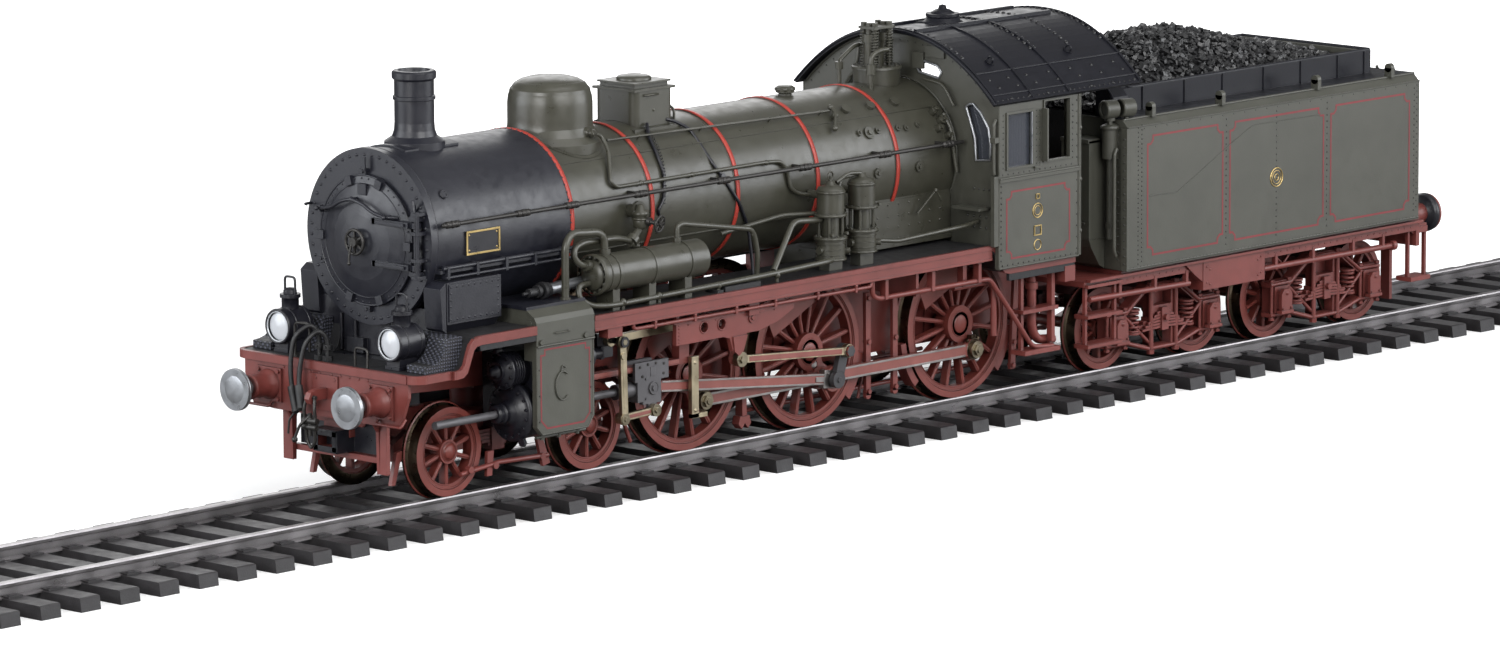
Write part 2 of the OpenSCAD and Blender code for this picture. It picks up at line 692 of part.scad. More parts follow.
// [radius, z] shell, up the outside and back down the inside
dome_section = [
  [12.4, 106], [18.2, 106], [18.2, 112.6], [16.2, 115], [14.9, 118], [14.7, 121],
  [14.7, 127.6], [14.0, 131], [11.6, 133.4], [8, 134.6], [0, 135], [0, 133], [8, 132.6],
  [12.4, 127]
];
module steam_dome() color(GREEN) difference() {
  translate([-103.7, 0, 0]) rotate_extrude($fn = 72) polygon(dome_section);
  barrel_cut();
  band_cut(-81.7, -80);
  band_cut(-125, -120.7);
}

module sand_dome() color(GREEN) difference() {
  corner_r = 3;
  front = -71.6;
  rear = -51.6;
  union() {
    difference() {
      box([front, -10, 106], [rear, 10, 127.6]);
      for (x = [front, rear]) for (y = [-10, 10])
        box([x - corner_r, y - corner_r, 100], [x + corner_r, y + corner_r, 130]);
    }
    for (x = [front + corner_r, rear - corner_r]) for (y = [-7, 7])
      rod_z(106, 127.6, corner_r, x, y);
    box([-70, -8.4, 127.5], [-53.2, 8.4, 129]);
    rod_z(128.9, 130.4, 5.6, -61.6, 0);
    box([-74, -12.4, 106], [-49.2, 12.4, 113.8]);
  }
  barrel_cut();
  band_cut(-81.7, -80);
  band_cut(-38.2, -36);
}

module safety_valves() color(NICKEL) difference() {
  whistle_x = 16.4;
  union() {
    rod_z(108, 121.5, 8.6, 65.2, 0);
    for (x = [61.4, 69]) {
      rod_z(121.4, 130.5, 2.0, x, 0);
      rod_z(130.4, 133.4, 2.6, x, 0);
      rod_z(133.3, 137.4, 1.4, x, 0);
    }
    box([60.8, -0.8, 126], [69.6, 0.8, 128]);
    // whistle and turret ahead of the valves
    rod_z(110, 116.8, 2.2, whistle_x, 0);
    rod_z(116.7, 119.0, 2.8, whistle_x, 0);
  }
  barrel_cut();
}

module handrails() color(NICKEL) both() {
  rail_y = 32.4;
  rod_x(-187.5, 76, 0.75, rail_y, rail_z);
  // posts standing on the smokebox or barrel
  for (x = [-184, -150, -126, -92, -50, -8, 34, 68]) {
    r = x < -123 ? smoke_r : boiler_r;
    rod_y(sqrt(r*r - pow(rail_z - boiler_z, 2)), rail_y, 0.6, x, rail_z);
    rod_x(x - 1.1, x + 1.1, 1.15, rail_y, rail_z);
  }
}

// pumps: [x, bottom z, top z]
pumps = [[-0.8, 62.2, 87.2], [15.5, 63.2, 88.4]];
module feed_pumps() color(GREEN) {
  // feed-water heater drum on the left board
  drum_y = -39.2;
  drum_z = 71.4;
  rod_x(-122, -71, 6.6, drum_y, drum_z);
  for (x = [-123.2, -71.2]) rod_x(x, x + 1.6, 5.2, drum_y, drum_z);
  for (x = [-116, -98, -80]) {
    rod_x(x, x + 1.4, 6.9, drum_y, drum_z);
    box([x - 1, -43, board_top], [x + 2.4, -35, 66]);
  }
  // air and feed pumps behind it
  for (pump = pumps) {
    x = pump[0];
    low = pump[1];
    high = pump[2];
    rod_z(low, low + 8, 5.2, x, -38);
    rod_z(low + 7.9, high - 9, 3.0, x, -38);
    rod_z(high - 9.1, high, 4.9, x, -38);
    rod_z(low + 7, low + 8.4, 5.8, x, -38);
    rod_z(high - 9.6, high - 8.4, 5.6, x, -38);
    box([x - 3.4, -40.5, board_top], [x + 3.4, -35.5, low + 0.1]);
  }
}

module front_lamps() color(BLACK) both() {
  lamp_z = 56.8;
  difference() {
    rod_x(-209.4, -198.4, 6.1, buffer_y, lamp_z);
    rod_x(-210, -207.4, 5.25, buffer_y, lamp_z);
  }
  rod_x(-208.4, -207.3, 4.4, buffer_y, lamp_z);
  rod_z(62.2, 66.4, 2.8, -203.6, buffer_y);
  rod_z(66.3, 67.6, 3.6, -203.6, buffer_y);
  box([-208, 24.2, 47.6], [-199, 30.5, 51.6]);
}

// ---- cab ----
// [y, z] points of a roof curve; a negative half width runs it from +Y to -Y
function arch(half, base, rise, span, steps = 16) = [
  for (i = [-steps:steps]) let (y = i*half/steps)
    [y, base + rise*(1 - pow(abs(y)/span, 2.2))]
];
// [y, z] openings in the front sheet, the firehole plate and the spectacle glass
spectacle = [[32.4, 108], [36, 109.4], [43.2, 101], [44.2, 95], [44, 89.6], [37.2, 88.8]];
top_slot = [[8, 121.4], [9.6, 123.4], [18.6, 121.6], [20.4, 119.4], [19, 117.2], [9.6, 118.6]];
firehole_plate = [[-26, 51.1], [26, 51.1], [26, 100], [18, 112], [-18, 112], [-26, 100]];
front_pane = [[31.8, 109], [36, 110.2], [43.9, 101.4], [44.9, 95], [44.6, 88.8], [36.8, 88.2]];
// [x, z] room for the slope of the running board
slope_cut = [
  [70, 40], [70, 58.45], [76, 58.45], [79.05, 57.65], [83.05, 51.05], [86.05, 49.6],
  [86.05, 40]
];
module cab_side() {
  difference() {
    box([78, 46.8, cab_floor], [engine_rear, 48, 110.2]);
    box([82.7, 46, 86.5], [96.2, 49, 105.9]);
    box([102.9, 46, 87.1], [116.5, 49, 108.7]);
  }
  // waist rail
  box([78, 47.9, 81.4], [engine_rear, 48.7, 82.6]);
  // rear edge
  box([120.6, 42, 50], [engine_rear, 46.9, 110.2]);
}
module cab_front() {
  sheet = concat(arch(46.8, 108.8, 23.4, 48.5, steps = 12), [[46.8, 50], [-46.8, 50]]);
  difference() {
    plate_x(78, 79.4, sheet);
    rod_x(77, 80, boiler_r + 0.05, 0, boiler_z);
    box([77, -24.6, 40], [80, 24.6, 90]);
    both() plate_x(77, 80.5, spectacle);
    both() plate_x(77, 80.5, top_slot);
  }
}
module cab() color(GREEN) difference() {
  union() {
    both() cab_side();
    cab_front();
    // floor, with the firehole plate closing the boiler
    box([80, -46.8, cab_floor], [engine_rear, 46.8, 51.2]);
    plate_x(79.4, 81, firehole_plate);
    rod_x(80.9, 82.4, 6, 0, 72);
    for (y = [-36, 36]) box([106, y - 6, 51.1], [114, y + 6, 66]);
    // boxes over the rear coupled wheels
    both() box([79, 18.8, 50], [113, 29, 58]);
  }
  // room for the rear coupled wheels
  both() box([50, 19.6, 40], [112, 28.2, 57.2]);
  both() plate_y(15.9, 46.1, slope_cut);
}
module cab_roof() color(BLACK) {
  rise = 23.2;
  sheet = concat(arch(49.6, 110.6, rise, 49.6), arch(-48.6, 109.3, rise, 49.0));
  rib = concat(arch(49.4, 111.2, rise, 49.6), arch(-48.6, 110, rise, 49.4));
  plate_x(74.5, 155.5, sheet);
  for (x = [75, 95, 115, 154.2]) plate_x(x, x + 1, rib);
  both() box([76, 8.4, 132.6], [150, 9.8, 134.4]);
  // ventilator
  rod_z(131, 136.2, 5.4, 101, 0);
  rod_z(136.1, 137.2, 6.2, 101, 0);
}
module cab_glass() color(GLASS) {
  both() box([82, 46.1, 85.8], [97, 46.8, 106.6]);
  both() plate_x(79.4, 80.0, front_pane);
}
module cab_steps() color(RED) both() {
  for (x = [97, 113]) box([x, 40.6, 17], [x + 1.4, 42, low_board_under]);
  box([96, 38, 15.4], [115.4, 45, 17.1]);
  box([96, 38, 30.6], [115.4, 44, 32]);
  // injector with overflow pipe
  pipe_r = 1.1;
  bend_r = 4.2;
  rod_x(62, 80, pipe_r, 40, 40 + bend_r);
  translate([80, 40, 40]) rotate([90, 0, 0]) intersection() {
    rotate_extrude($fn = 40) translate([bend_r, 0]) circle(r = pipe_r, $fn = 20);
    translate([0, 0, -3]) cube([8, 8, 6]);
  }
  rod_z(24, 40.2, pipe_r, 80 + bend_r, 40);
  box([66, 38.6, 44.2], [68, 41.4, board_under]);
}

// ---- buffers ----
module buffer(side) {
  y = side*buffer_y;
  rod_x(-230.5, -229, 7.2, y, buffer_z);
  rod_x(-229.1, -227.6, 4.4, y, buffer_z);
  rod_x(-229.1, -216, buffer_shank_r - run, y, buffer_z);
}
module buffer_front_l() { color(STEEL) buffer(LEFT); }
module buffer_front_r() { color(STEEL) buffer(RIGHT); }

// ---- leading bogie ----
// [x, z] side plate
bogie_side = [
  [-193, 18], [-193, 12], [-172, 9.6], [-168, 12], [-124, 12], [-120, 9.6], [-99, 12],
  [-99, 18], [-106, 22], [-120, 22], [-126, 25], [-166, 25], [-172, 22], [-186, 22]
];
module bogie_frame() color(RED) {
  difference() {
    union() {
      both() plate_y(9, 11.6, bogie_side);
      box([bogie_x - 12, -9.1, 20], [bogie_x + 12, 9.1, 25]);
      for (x = [-192, -102.4]) box([x, -9.1, 12.5], [x + 2.4, 9.1, 17.5]);
    }
    for (x = [bogie_front_x, bogie_rear_x]) rod_y(-14, 14, carry_axle_r + run, x, carry_r);
  }
  rod_z(24.9, 36, pivot_r, bogie_x, 0);
  rod_z(24.9, 32.9, 6, bogie_x, 0);
}

// ---- tender ----
// [y, z] tank end and coal space wing
tank_end = [
  [-tender_hw, 40.2], [-tender_hw, 93.4], [-tender_hw + 3, 96.4],
  [tender_hw - 3, 96.4], [tender_hw, 93.4], [tender_hw, 40.2]
];
coal_wing = [[30.6, 94], [32, 94], [40, 96.2], [40, 100], [32, 108.6], [30.6, 108.6]];
module tender_tank() color(GREEN) difference() {
  union() {
    difference() {
      plate_x(150.8, 321.5, tank_end);
      box([153, -tender_hw + 1.6, 42], [319.6, tender_hw - 1.6, 94.6]);
      box([150, -20, 42], [160, 20, 97]);
      box([152.4, -30.2, 90], [308, 30.2, 100]);
    }
    // coal space walls
    difference() {
      box([159, -32, 94.4], [309.6, 32, 105.2]);
      box([157, -30.6, 94], [307, 30.6, 106]);
    }
    both() plate_x(152, 160, coal_wing);
    // coal space floor, lower sides and rear
    box([152.4, -31, 70], [309, 31, 71.4]);
    both() box([152.4, 30.2, 70], [309, 31.6, 95]);
    box([307.8, -31, 70], [309.2, 31, 95]);
    // top brackets
    both() for (x = [166, 206, 262, 306]) box([x, 42.6, 96], [x + 1.6, 45.6, 100.4]);
    // locker and handbrake column
    box([151, 24, 96], [158, 38, 104]);
    rod_z(52, 97, 1.2, 148.6, -40);
    rod_z(96, 98, 2.0, 148.6, -40);
    for (z = [56, 90]) box([147.4, -41, z], [151, -39, z + 2]);
  }
  // filler neck
  rod_z(90, 110, 4.5, filler_x, 0);
}
module water_lid() color(BLACK) {
  rod_z(96.5, 98.2, 5.3, filler_x, 0);
  rod_z(98.1, 99.4, 2, filler_x, 0);
  rod_y(-6, 6, 1.1, 321.0, 97.5);
  box([315, -5, 96.5], [321, 5, 98]);
}
// solid block topped with tumbled lumps in a 10 by 5 grid
module coal_load() color(COAL) translate([0, 0, 71.5]) {
  translate([158.4, -30.1, 0]) cube([148.2, 60.2, 34]);
  intersection() {
    translate([158.4, -30, 20]) cube([147.6, 60, 40]);
    for (i = [0:9]) for (j = [0:4]) {
      x = 164 + i*14.6 + (j % 2)*4;
      y = -25 + j*12.4;
      z = 31.5 + 6*sin(i*19 + 12)*(1 - abs(j - 2)*0.28);
      size = [9 + (i*j) % 4, 8 + (i + j) % 5, 8 + (i*3 + j) % 4];
      translate([x, y, z]) rotate([i*37 + j*11, j*53, i*71]) cube(size, center = true);
    }
  }
}
module tender_frame() color(RED) difference() {
  union() {
    both() {
      box([132, 14, 33.6], [326, 17, 40.2]);
      box([150.8, 42, 35], [324, 44, 40.2]);
      // front steps
      for (x = [131, 147.4]) box([x, 42, 14], [x + 1.2, 43.4, 36.5]);
      box([130.4, 38.6, 13.4], [149.2, 45, 15]);
      box([130.4, 38.6, 24.4], [149.2, 44.4, 26]);
      // locker boxes under the frame
      box([196.3, 38.4, 27.4], [232, 45, 38.5]);
      box([196.3, 38.4, 38.4], [232, 44, 40.2]);
      // rear buffers
      rod_x(325.9, 328, 5.2, buffer_y, buffer_z);
      rod_x(327.9, 348.6, 3.9, buffer_y, buffer_z);
      rod_x(348.5, 351.5, 7.2, buffer_y, buffer_z);
      // rear steps
      for (x = [321, 331]) box([x, 41, 17], [x + 1.2, 42.4, 36]);
      box([320.6, 37, 15.4], [332.4, 44.4, 17.1]);
      box([320.6, 41, 35], [332.4, 42.4, 37]);
      // rear guard irons
      box([331, 21, 5.4], [332.6, 25.4, 33]);
      box([325.9, 21, 30], [332.6, 25.4, 33]);
    }
    for (x = [150.8, 200, 240, 318]) box([x, -42.1, 35.4], [x + 3, 42.1, 40.2]);
    for (x = tender_pivot_x) box([x - 10, -17, 34.4], [x + 10, 17, 40.2]);
    box([129.6, -44, 36.4], [151, 44, 38.4]);
    // rear beam and the bar behind it
    box([324, -44, 29], [326, 44, 41]);
    box([326, -1.2, 35.6], [331.7, 1.2, 39.4]);
    // drawbar reaching under the cab
    box([drawbar_x, -3.6, 34.0], [134, 3.6, 35.8]);
    box([130, -14.2, 34.0], [134, 14.2, 38]);
    rod_z(34.0, 35.8, 3.6, drawbar_x, 0);
    rod_z(24, 34.1, drawbar_pin_r - run, drawbar_x, 0);
  }
  for (x = tender_pivot_x) rod_z(33, 41, pivot_r + run, x, 0);
}
// diamond-frame bogie with leaf springs, between axles at a and b
module tender_bogie(a, b) {
  mid = (a + b)/2;
  // [x, z] upper and lower bars of the diamond
  upper = [
    [a - 6, 20.4], [a - 6, 22.4], [a + 6, 22.6], [mid - 9, 30.6], [mid + 9, 30.6],
    [b - 6, 22.6], [b + 6, 22.4], [b + 6, 20.4], [b - 6.6, 20.4], [mid + 8, 28.6],
    [mid - 8, 28.6], [a + 6.6, 20.4]
  ];
  lower = [
    [a - 6, 10.6], [a - 6, 9], [a + 6, 9], [mid - 8, 5.4], [mid + 8, 5.4], [b - 6, 9],
    [b + 6, 9], [b + 6, 10.6], [b - 6, 10.6], [mid + 7, 7], [mid - 7, 7], [a + 6, 10.6]
  ];
  difference() {
    union() {
      both() {
        // axleboxes
        for (x = [a, b]) {
          box([x - 4, 27, 10.5], [x + 4, 33.5, 20.6]);
          box([x - 2.6, 33.4, 12], [x + 2.6, 35, 19]);
        }
        plate_y(28.4, 32.6, upper);
        plate_y(28.4, 32.6, lower);
        for (x = [mid - 6.4, mid + 5]) box([x, 28.4, 6], [x + 1.4, 32.6, 29]);
        // spring leaves
        for (i = [0:3])
          box([mid - 13 + i*2.6, 28.8, 14 + i*1.3], [mid + 13 - i*2.6, 32.2, 15.3 + i*1.3]);
        box([mid - 6, 28.4, 19], [mid + 6, 32.6, 22]);
      }
      // bolster and pivot
      box([mid - 6, -28.5, 22], [mid + 6, 28.5, 27.6]);
      box([mid - 8, -28.5, 26], [mid + 8, 28.5, 28.6]);
      rod_z(28.5, 34.3, 6, mid, 0);
      rod_z(34.2, 39, pivot_r, mid, 0);
    }
    for (x = [a, b]) rod_y(-40, 40, carry_axle_r + run, x, carry_r);
  }
}
module tender_bogie_1() { color(RED) tender_bogie(tender_x[0], tender_x[1]); }
module tender_bogie_2() { color(RED) tender_bogie(tender_x[2], tender_x[3]); }

frame();
running_board();
cylinders();
cylinder_casings();
boiler();
smokebox();
chimney();
steam_dome();
sand_dome();
safety_valves();
handrails();
feed_pumps();
cab();
cab_roof();
cab_glass();
front_lamps();
slide_bars();
cab_steps();
smokebox_door();
door_wheel();
buffer_front_l();
buffer_front_r();
bogie_frame();
bogie_wheels_1();
bogie_wheels_2();
drivers_1();
drivers_2();
drivers_3();
side_rod_l();
side_rod_r();
main_rod_l();
main_rod_r();
crosshead_l();
crosshead_r();
crank_disc_l();
crank_disc_r();
neck_ring_l();
neck_ring_r();
neck_bead_l();
neck_bead_r();
eccentric_rod_l();
eccentric_rod_r();
expansion_link_l();
expansion_link_r();
combination_lever_l();
combination_lever_r();
union_link_l();
union_link_r();
radius_rod_l();
radius_rod_r();
tender_tank();
tender_frame();
coal_load();
tender_bogie_1();
tender_bogie_2();
tender_wheels_1();
tender_wheels_2();
tender_wheels_3();
tender_wheels_4();
water_lid();
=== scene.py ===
"""A model steam locomotive and its bogie tender, standing on a length of track.

The engine faces -X, its left side is -Y, and z = 0 is the top of the rails. Sizes are in
millimetres; make() turns them into metres. Lights and camera are placed in metres.
"""
import random
from math import cos, hypot, pi, radians, sin, sqrt

import bmesh
import bpy
from mathutils import Matrix, Vector


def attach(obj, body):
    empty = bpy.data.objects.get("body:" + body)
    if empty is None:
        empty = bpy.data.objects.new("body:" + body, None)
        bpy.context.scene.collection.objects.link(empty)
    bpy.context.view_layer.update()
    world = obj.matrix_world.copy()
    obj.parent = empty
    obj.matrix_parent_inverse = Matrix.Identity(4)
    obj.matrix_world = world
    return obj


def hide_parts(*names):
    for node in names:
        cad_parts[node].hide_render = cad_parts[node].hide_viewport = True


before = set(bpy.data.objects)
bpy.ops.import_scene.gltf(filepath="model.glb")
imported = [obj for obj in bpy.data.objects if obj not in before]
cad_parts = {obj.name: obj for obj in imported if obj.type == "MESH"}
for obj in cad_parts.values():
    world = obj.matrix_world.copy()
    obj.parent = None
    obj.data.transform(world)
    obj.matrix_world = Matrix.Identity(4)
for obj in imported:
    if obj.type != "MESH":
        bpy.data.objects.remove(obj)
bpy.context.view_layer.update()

# ------------------------------------------------------------------ driving dimensions

MM = 0.001
SIDES = (-1, 1)
SIDE_NAME = {-1: "l", 1: "r"}
FRONT, BACK, UP, OUT = (-1, 0, 0), (1, 0, 0), (0, 0, 1), (0, 1, 0)

WHEEL_Y = 20.0  # inner face of every wheel
DRIVER_R, TRUCK_R = 27.34, 15.62
DRIVER_X = (-62.5, 0.0, 80.63)
BOGIE_X = (-180.3, -111.56)
TENDER_X = (160.8, 213.9, 256.1, 309.2)

BOILER_Z, BARREL_R, SMOKEBOX_R = 88.84, 27.1, 29.9
DOOR_Z = 87.7
CYLINDER_Y, VALVE_Z = 33.2, 42.2
CASING_Y, CAB_Y, TANK_Y = 45.6, 48.0, 47.0  # outer faces of the side sheets
BUFFER_Y, BUFFER_Z = 27.35, 37.5
LAMP_Y, LAMP_Z = BUFFER_Y, 56.8
RAIL_Y = 23.9

CRANK_R = 10.6
RETURN_PIN_R, RETURN_ANGLE = 7.6, radians(70.2)
CRANK_ANGLE = {-1: radians(-64.5), 1: radians(25.5)}
LEFT_WRIST_X = -90.7
MAIN_ROD = hypot(CRANK_R * cos(CRANK_ANGLE[-1]) - LEFT_WRIST_X, CRANK_R * sin(CRANK_ANGLE[-1]))

# ------------------------------------------------------------------ linkage, points are (x, z)


def crank_pin(side):
    angle = CRANK_ANGLE[side]
    return (CRANK_R * cos(angle), DRIVER_R + CRANK_R * sin(angle))


def coupled_pins(side):
    """Crank pins of the first and the last coupled axle."""
    x, z = crank_pin(side)
    return (DRIVER_X[0] + x, z), (DRIVER_X[2] + x, z)


def wrist_pin(side):
    angle = CRANK_ANGLE[side]
    return (CRANK_R * cos(angle) - sqrt(MAIN_ROD**2 - (CRANK_R * sin(angle)) ** 2), DRIVER_R)


def return_pin(side):
    angle = CRANK_ANGLE[side] + RETURN_ANGLE
    return (RETURN_PIN_R * cos(angle), DRIVER_R + RETURN_PIN_R * sin(angle))


LINK_PIVOT = (-47.5, 47.6)
LEFT_FOOT = (-48.4, 32.2)
FOOT_R = hypot(LINK_PIVOT[0] - LEFT_FOOT[0], LINK_PIVOT[1] - LEFT_FOOT[1])
ECCENTRIC_ROD = hypot(return_pin(-1)[0] - LEFT_FOOT[0], return_pin(-1)[1] - LEFT_FOOT[1])


def link_foot(side):
    """Lower end of the expansion link, where its arc meets the reach of the eccentric rod."""
    px, pz = LINK_PIVOT
    qx, qz = return_pin(side)
    dist = hypot(qx - px, qz - pz)
    along = (FOOT_R**2 - ECCENTRIC_ROD**2 + dist * dist) / (2 * dist)
    across = sqrt(FOOT_R**2 - along * along)
    ux, uz = (qx - px) / dist, (qz - pz) / dist
    return (px + along * ux + across * uz, pz + along * uz - across * ux)


# ------------------------------------------------------------------ shader helpers

MIX_A, MIX_B = 6, 7  # colour sockets of a Mix node


def set_inputs(tree, node, inputs):
    """Links an input where it is given a socket, and sets its value otherwise."""
    for key, value in inputs.items():
        if isinstance(value, bpy.types.NodeSocket):
            tree.links.new(value, node.inputs[key])
        else:
            node.inputs[key].default_value = value


def add_node(tree, kind, inputs=None, **settings):
    node = tree.nodes.new(kind)
    for name, value in settings.items():
        setattr(node, name, value)
    set_inputs(tree, node, inputs or {})
    return node


def new_material(name):
    material = bpy.data.materials.new(name)
    material.use_nodes = True
    tree = material.node_tree
    return material, tree, tree.nodes["Principled BSDF"]


def object_coords(tree):
    return add_node(tree, "ShaderNodeTexCoord").outputs["Object"]


def noise(tree, coords, scale, detail=2.0):
    inputs = {"Vector": coords, "Scale": scale, "Detail": detail}
    return add_node(tree, "ShaderNodeTexNoise", inputs).outputs["Fac"]


def map_range(tree, value, source, target):
    inputs = {"Value": value, "From Min": source[0], "From Max": source[1],
              "To Min": target[0], "To Max": target[1]}
    return add_node(tree, "ShaderNodeMapRange", inputs).outputs["Result"]


def mix(tree, factor, first, second, **settings):
    inputs = {"Factor": factor, MIX_A: first, MIX_B: second}
    node = add_node(tree, "ShaderNodeMix", inputs, data_type="RGBA", **settings)
    return node.outputs[2]


def multiply(tree, first, second):
    return mix(tree, 1, first, second, blend_type="MULTIPLY")


def calc(tree, operation, first, second=None):
    inputs = {0: first} if second is None else {0: first, 1: second}
    return add_node(tree, "ShaderNodeMath", inputs, operation=operation).outputs[0]


def split_xyz(tree, vector):
    return add_node(tree, "ShaderNodeSeparateXYZ", {0: vector}).outputs


def gloss(tree, speckle, rough):
    """Roughness that wanders a little round its mean."""
    return map_range(tree, speckle, (0.3, 0.7), (rough - 0.07, rough + 0.09))


# ------------------------------------------------------------------ materials


def paint(name, rgb, rough, metal=0.0, vary=0.10, grain=0.10, dust=0.0, coat=0.0, spec=0.5,
          scale=1.0, bevel=True, dark=0.0):
    """Paint or bare metal.

    vary: strength of the mottling; grain: surface bumps; dust: grey on faces that look up;
    dark: shade in the corners; scale: of the textures; bevel: softened edge highlights.
    """
    material, tree, shader = new_material(name)
    coords = object_coords(tree)
    mottle = noise(tree, coords, scale=55 * scale, detail=5)
    fine = noise(tree, coords, scale=1500 * scale, detail=3)
    speckle = noise(tree, coords, scale=260 * scale, detail=4)
    tone = map_range(tree, mottle, (0.3, 0.7), (1 - vary, 1 + vary))
    colour = multiply(tree, (*rgb, 1), tone)
    tone = map_range(tree, speckle, (0.35, 0.75), (1 - vary * 0.6, 1 + vary * 0.6))
    colour = multiply(tree, colour, tone)
    if dust > 0:
        normal = add_node(tree, "ShaderNodeNewGeometry").outputs["Normal"]
        upward = map_range(tree, split_xyz(tree, normal)["Z"], (0.2, 1.0), (0, dust))
        amount = calc(tree, "MULTIPLY", upward, speckle)
        colour = mix(tree, amount, colour, (0.30, 0.28, 0.26, 1))
    if dark > 0:
        corners = add_node(tree, "ShaderNodeAmbientOcclusion", {"Distance": 0.004}, samples=4)
        shade = map_range(tree, corners.outputs["AO"], (0.25, 0.9), (1 - dark, 1.0))
        colour = multiply(tree, colour, shade)
    bumps = {"Strength": grain, "Distance": 0.0002, "Height": fine}
    if bevel:
        soft = add_node(tree, "ShaderNodeBevel", {"Radius": 0.00022}, samples=3)
        bumps["Normal"] = soft.outputs["Normal"]
    set_inputs(tree, shader, {
        "Base Color": colour,
        "Roughness": gloss(tree, speckle, rough),
        "Normal": add_node(tree, "ShaderNodeBump", bumps).outputs["Normal"],
        "Metallic": metal,
        "Specular IOR Level": spec,
    })
    if coat:
        set_inputs(tree, shader, {"Coat Weight": coat, "Coat Roughness": 0.25})
    return material


def glass(name, tint, alpha):
    material, tree, shader = new_material(name)
    smear = noise(tree, object_coords(tree), scale=140)
    tone = map_range(tree, smear, (0, 1), (0.92, 1.0))
    set_inputs(tree, shader, {
        "Roughness": map_range(tree, smear, (0, 1), (0.02, 0.12)),
        "Base Color": multiply(tree, (*tint, 1), tone),
        "Alpha": alpha,
        "Specular IOR Level": 0.8,
    })
    return material


def tread_plate(name, rgb, pitch, rough):
    """Chequered plate: crossed sine waves make studs; their crowns are painted paler as a painted
    highlight, and the ground between them darker as painted shade.
    """
    material, tree, shader = new_material(name)
    speckle = noise(tree, object_coords(tree), scale=260, detail=4)
    place = split_xyz(tree, object_coords(tree))
    x, y, z = (place[axis] for axis in "XYZ")

    def wave(value):
        return calc(tree, "SINE", calc(tree, "MULTIPLY", value, 2 * pi / pitch))

    rising = wave(calc(tree, "ADD", x, z))
    across = wave(y)
    falling = wave(calc(tree, "SUBTRACT", x, z))
    normal = add_node(tree, "ShaderNodeNewGeometry").outputs["Normal"]
    facing = calc(tree, "ABSOLUTE", split_xyz(tree, normal)["Y"])
    upright = calc(tree, "GREATER_THAN", facing, 0.7)
    on_flat = calc(tree, "MULTIPLY", rising, across)
    on_side = calc(tree, "MULTIPLY", rising, falling)
    flat_part = calc(tree, "MULTIPLY", on_flat, calc(tree, "SUBTRACT", 1.0, upright))
    pattern = calc(tree, "ADD", flat_part, calc(tree, "MULTIPLY", on_side, upright))
    stud = map_range(tree, pattern, (-0.1, 0.5), (0, 1))
    # painted shade on the ground between the studs, painted highlight on their crowns
    ground = tuple(c * 0.5 for c in rgb)
    crown = tuple(c * gain for c, gain in zip(rgb, (3.2, 3.2, 3.4)))
    bumps = {"Strength": 1.0, "Distance": 0.0005, "Height": calc(tree, "ADD", stud, 0.0)}
    set_inputs(tree, shader, {
        "Base Color": mix(tree, stud, (*ground, 1), (*crown, 1)),
        "Roughness": gloss(tree, speckle, rough),
        "Normal": add_node(tree, "ShaderNodeBump", bumps).outputs["Normal"],
    })
    return material


BOILER_GREEN = paint("boiler_paint", (0.043, 0.042, 0.031), rough=0.34, coat=0.08, dark=0.25)
CAB_GREEN = paint("cab_paint", (0.056, 0.056, 0.045), rough=0.40, vary=0.09, coat=0.04, dark=0.25)
SMOKEBOX_BLACK = paint("smokebox_paint", (0.0105, 0.011, 0.0165), rough=0.36, vary=0.08,
                       grain=0.16)
ROOF_BLACK = paint("roof_paint", (0.006, 0.0063, 0.010), rough=0.36, vary=0.12, dust=0.01,
                   spec=0.27)
BOARD_BLACK = paint("board_paint", (0.0075, 0.0075, 0.009), rough=0.55, vary=0.15, grain=0.25,
                    dust=0.02)
CYLINDER_BLACK = paint("cylinder_paint", (0.008, 0.008, 0.012), rough=0.34, vary=0.12)
FRAME_RED = paint("frame_paint", (0.150, 0.033, 0.0275), rough=0.42, vary=0.13, grain=0.12,
                  dust=0.02, dark=0.6)
WHEEL_RED = paint("wheel_paint", (0.145, 0.029, 0.022), rough=0.40, vary=0.12, grain=0.12,
                  dust=0.01, dark=0.6)
ROD_RED = paint("rod_paint", (0.20, 0.060, 0.050), rough=0.38, vary=0.12, dust=0.02)
BAND_RED = paint("band_paint", (0.34, 0.034, 0.022), rough=0.42, vary=0.08, grain=0.06)
LINING_RED = paint("lining_paint", (0.17, 0.019, 0.023), rough=0.45, grain=0.05, bevel=False)
TYRE = paint("tyre_metal", (0.085, 0.065, 0.045), rough=0.30, metal=1.0, vary=0.2, scale=1.5)
STEEL = paint("motion_metal", (0.30, 0.28, 0.27), rough=0.36, metal=1.0, vary=0.14)
DARK_GREY = paint("motion_dark_grey", (0.055, 0.054, 0.058), rough=0.42, metal=0.5, vary=0.14,
                  grain=0.12)
CROSSHEAD_GREY = paint("crosshead_grey", (0.095, 0.092, 0.098), rough=0.48, metal=0.4,
                       vary=0.12, grain=0.14)
NICKEL = paint("motion_nickel", (0.42, 0.36, 0.25), rough=0.34, metal=1.0, vary=0.16, grain=0.08)
BUFFER_STEEL = paint("buffer_metal", (0.30, 0.31, 0.325), rough=0.33, metal=0.85, grain=0.08)
BRASS = paint("brass_metal", (0.50, 0.37, 0.16), rough=0.32, metal=1.0, vary=0.12, grain=0.06)
DARK_METAL = paint("dark_metal", (0.040, 0.038, 0.036), rough=0.38, metal=0.6, vary=0.2,
                   grain=0.12)
COAL = paint("coal_lump", (0.010, 0.010, 0.011), rough=0.34, vary=0.35, grain=0.6, spec=0.7,
             scale=2.0, bevel=False)
COAL_BED = paint("coal_bed", (0.006, 0.006, 0.007), rough=0.7, vary=0.3, grain=0.9, bevel=False)
